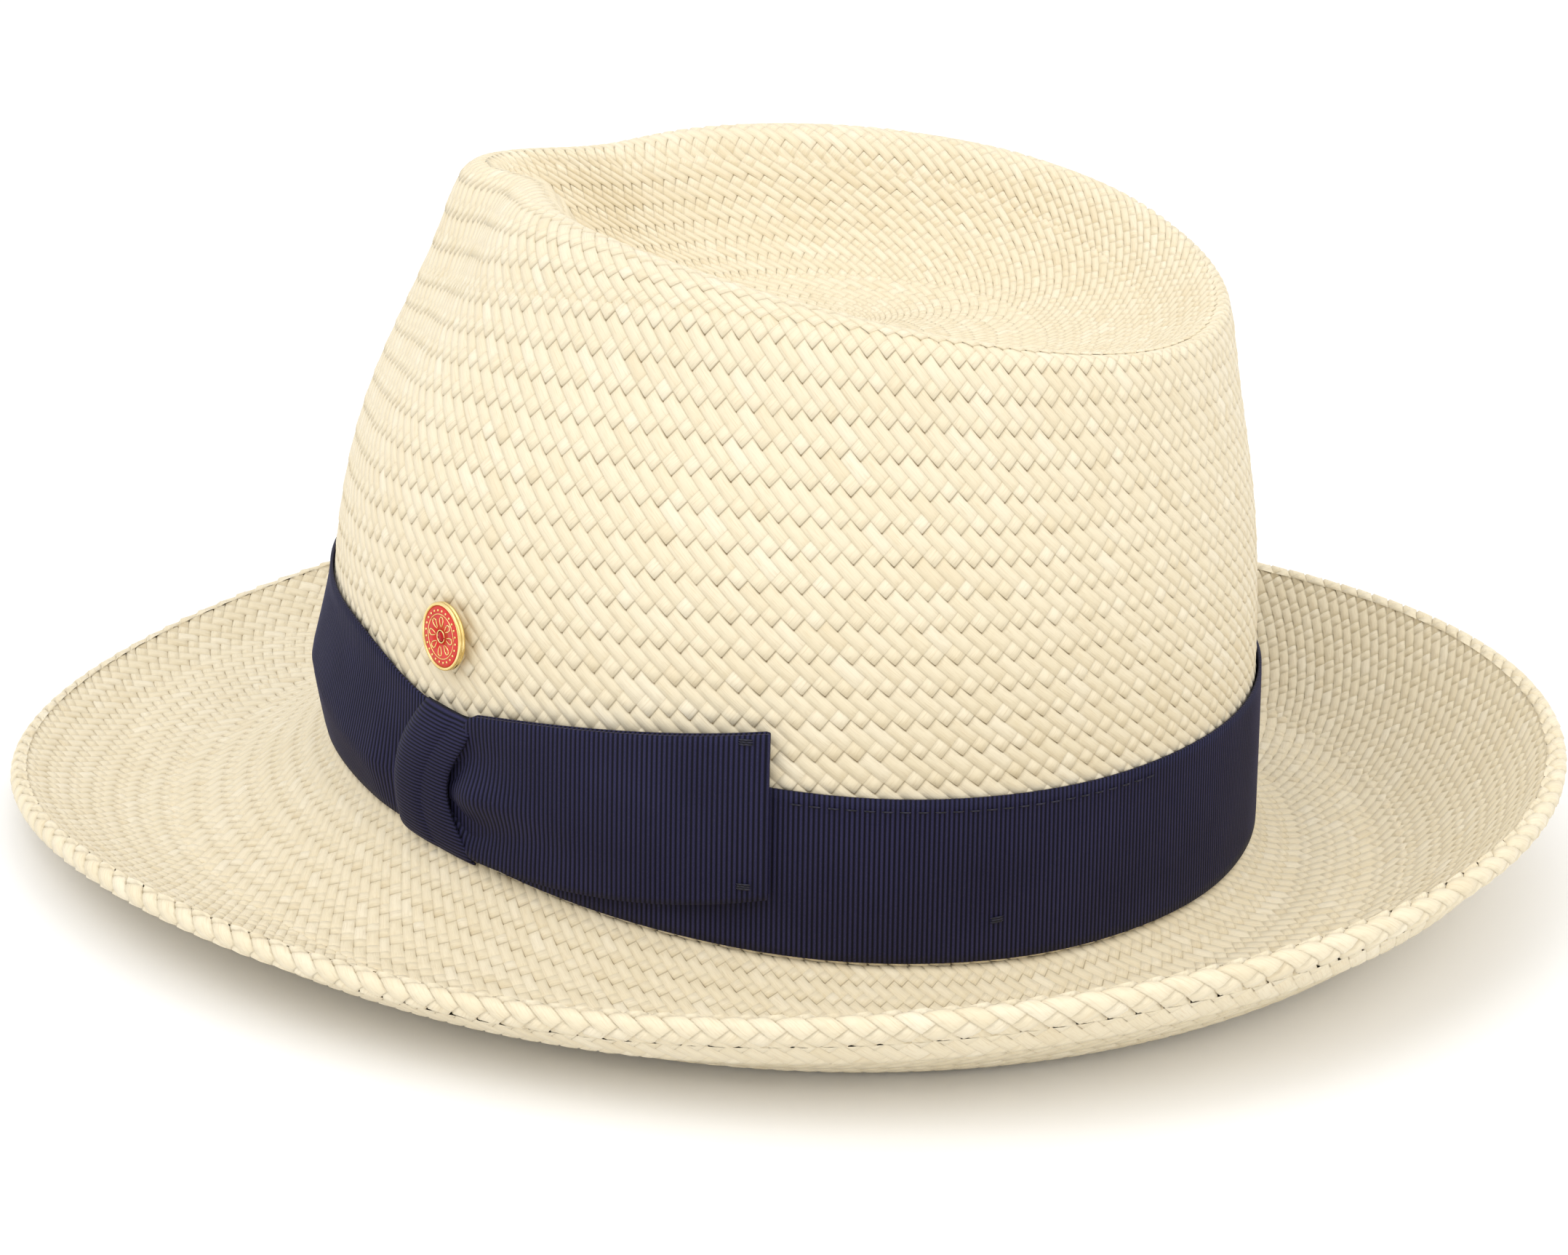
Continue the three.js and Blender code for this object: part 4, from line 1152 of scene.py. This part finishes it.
sweatband = strip("sweatband_cloth", place_sweatband, SWEAT_LENGTH, SWEAT_WIDTH, 11, SWEAT_CLOTH,
                  thickness=0.75, pitch=1.6, rib_height=0.14)
finish_piece(sweatband, "hat", "sweat_cloth", "sweatband")
stitch_height = SWEATBAND_START + 2
row = [stitch(a, stitch_height, INSIDE_FACE - 0.3, 2.6) for a in np.arange(0, 360, 2.25)]
sweatband_stitches = joined("sweatband_stitches", row, CREAM_THREAD)
finish_piece(sweatband_stitches, "hat", "cream_thread", "sweatband_thread")

SEAM_BOW_HEIGHT = 13.0
SEAM_BOW_HALF_LENGTH = 10.5
SEAM_BOW_HALF_WIDTH = 2.9
SEAM_KNOT_WIDTH = 3.4


def place_seam_bow(s, v):
    """The small bow over the seam, narrow in the middle and puffed on each side."""
    x = 2 * s - 1
    half = SEAM_BOW_HALF_WIDTH * (0.5 + 0.5 * smooth(np.abs(x)))
    a = 180 + x * SEAM_BOW_HALF_LENGTH / HEAD_HALF_WIDTH * 180 / math.pi
    puff = 0.5 * np.sin(math.pi * np.clip(np.abs(x), 0, 1))
    return on_side(a, SEAM_BOW_HEIGHT + half * (1 - 2 * v), INSIDE_FACE - 0.75 - puff)


def place_seam_knot(s, v):
    a = 180 + (0.5 - v) * SEAM_KNOT_WIDTH / HEAD_HALF_WIDTH * 180 / math.pi
    round_over = 0.9 * np.sin(math.pi * np.clip(s, 0, 1)) ** 0.6
    return on_side(a, SEAM_BOW_HEIGHT + 2.6 - 5.2 * s, INSIDE_FACE - 0.6 - round_over)


seam_bow = strip("sweatband_bow_ribbon", place_seam_bow, 2 * SEAM_BOW_HALF_LENGTH,
                 2 * SEAM_BOW_HALF_WIDTH, 9, NAVY, 0.4)
finish_piece(seam_bow, "hat", "navy_ribbon", "sweatband_bow")
seam_knot = strip("sweatband_bow_knot", place_seam_knot, 6.5, SEAM_KNOT_WIDTH, 7, NAVY, 0.4)
seam_knot.data.flip_normals()
finish_piece(seam_knot, "hat", "navy_ribbon")

LABEL_MIDDLE = 164.0
LABEL_HALF_ANGLE = 5.0
LABEL_LENGTH = 17.0
LABEL_WIDTH = 11.0


def place_label(s, v):
    a = LABEL_MIDDLE + LABEL_HALF_ANGLE * (2 * s - 1)
    curl = 0.35 * smooth((v - 0.6) / 0.4) + 0.12 * np.abs(2 * s - 1) ** 3
    return on_side(a, 30 - LABEL_WIDTH * v, INSIDE_FACE - 0.6 - curl)


label = strip("size_label_paper", place_label, LABEL_LENGTH, LABEL_WIDTH, 9, PAPER,
              thickness=0.25, pitch=0.8, rib_height=0.0)
finish_piece(label, "hat", "paper", "size_label")
frame["nodes"]["brim_wire"].data.materials.clear()
frame["nodes"]["brim_wire"].data.materials.append(STEEL)


# ---- camera, light, floor
CAMERA_AZIMUTH = 118.8
CAMERA_ELEVATION = 23.7
CAMERA_DISTANCE = 0.896
SENSOR = 36.0
LENS = 93.6234
LENS_SHIFT = (-0.0026, 0.078)
LIGHTS_TARGET_HEIGHT = 0.05
LIGHTS = [
    # name, azimuth, elevation, distance, size, power
    ("key", 80, 52, 1.5, 1.0, 4.8),
    ("fill", 165, 38, 1.8, 1.4, 5.4),
    ("top", 0, 88, 1.6, 1.5, 3.8),
]


def towards(azimuth, elevation):
    """The direction away from the hat at an azimuth from the front and an elevation, in degrees."""
    a, e = math.radians(azimuth), math.radians(elevation)
    return Vector((math.sin(a) * math.cos(e), -math.cos(a) * math.cos(e), math.sin(e)))


def add_aimed(name, data, target, away, distance):
    """A camera or light that looks at the target from a distance."""
    obj = bpy.data.objects.new(name, data)
    obj.location = target + away * distance
    obj.rotation_mode = "QUATERNION"
    obj.rotation_quaternion = away.to_track_quat("Z", "Y")
    bpy.context.scene.collection.objects.link(obj)
    return obj


def add_camera():
    data = bpy.data.cameras.new("camera")
    data.sensor_width = SENSOR
    data.lens = LENS
    data.shift_x, data.shift_y = LENS_SHIFT
    data.clip_start, data.clip_end = 0.05, 20
    away = towards(CAMERA_AZIMUTH, CAMERA_ELEVATION)
    target = Vector((0, ORIGIN_SHIFT_Y * MM, BREAK_HEIGHT * MM))
    bpy.context.scene.camera = add_aimed("camera", data, target, away, CAMERA_DISTANCE)


def add_light(name, azimuth, elevation, distance, size, power):
    data = bpy.data.lights.new(name, "AREA")
    data.shape, data.size, data.energy = "DISK", size, power
    add_aimed(name, data, Vector((0, 0, LIGHTS_TARGET_HEIGHT)), towards(azimuth, elevation), distance)


def add_stage():
    """A plain pale floor and a white surrounding."""
    bpy.ops.mesh.primitive_plane_add(size=12, location=(0, 0, -0.0002))
    floor = bpy.context.object
    floor.name = "floor"
    material, _, shader = new_material("floor")
    shader.inputs["Base Color"].default_value = (0.93, 0.93, 0.93, 1)
    shader.inputs["Roughness"].default_value = 0.9
    floor.data.materials.append(material)
    world = bpy.data.worlds.new("world")
    bpy.context.scene.world = world
    world.use_nodes = True
    background = world.node_tree.nodes["Background"]
    background.inputs["Color"].default_value = (1, 1, 1, 1)
    background.inputs["Strength"].default_value = 1.0


add_camera()
add_stage()
for values in LIGHTS:
    add_light(*values)
bpy.context.scene.view_settings.view_transform = "Standard"
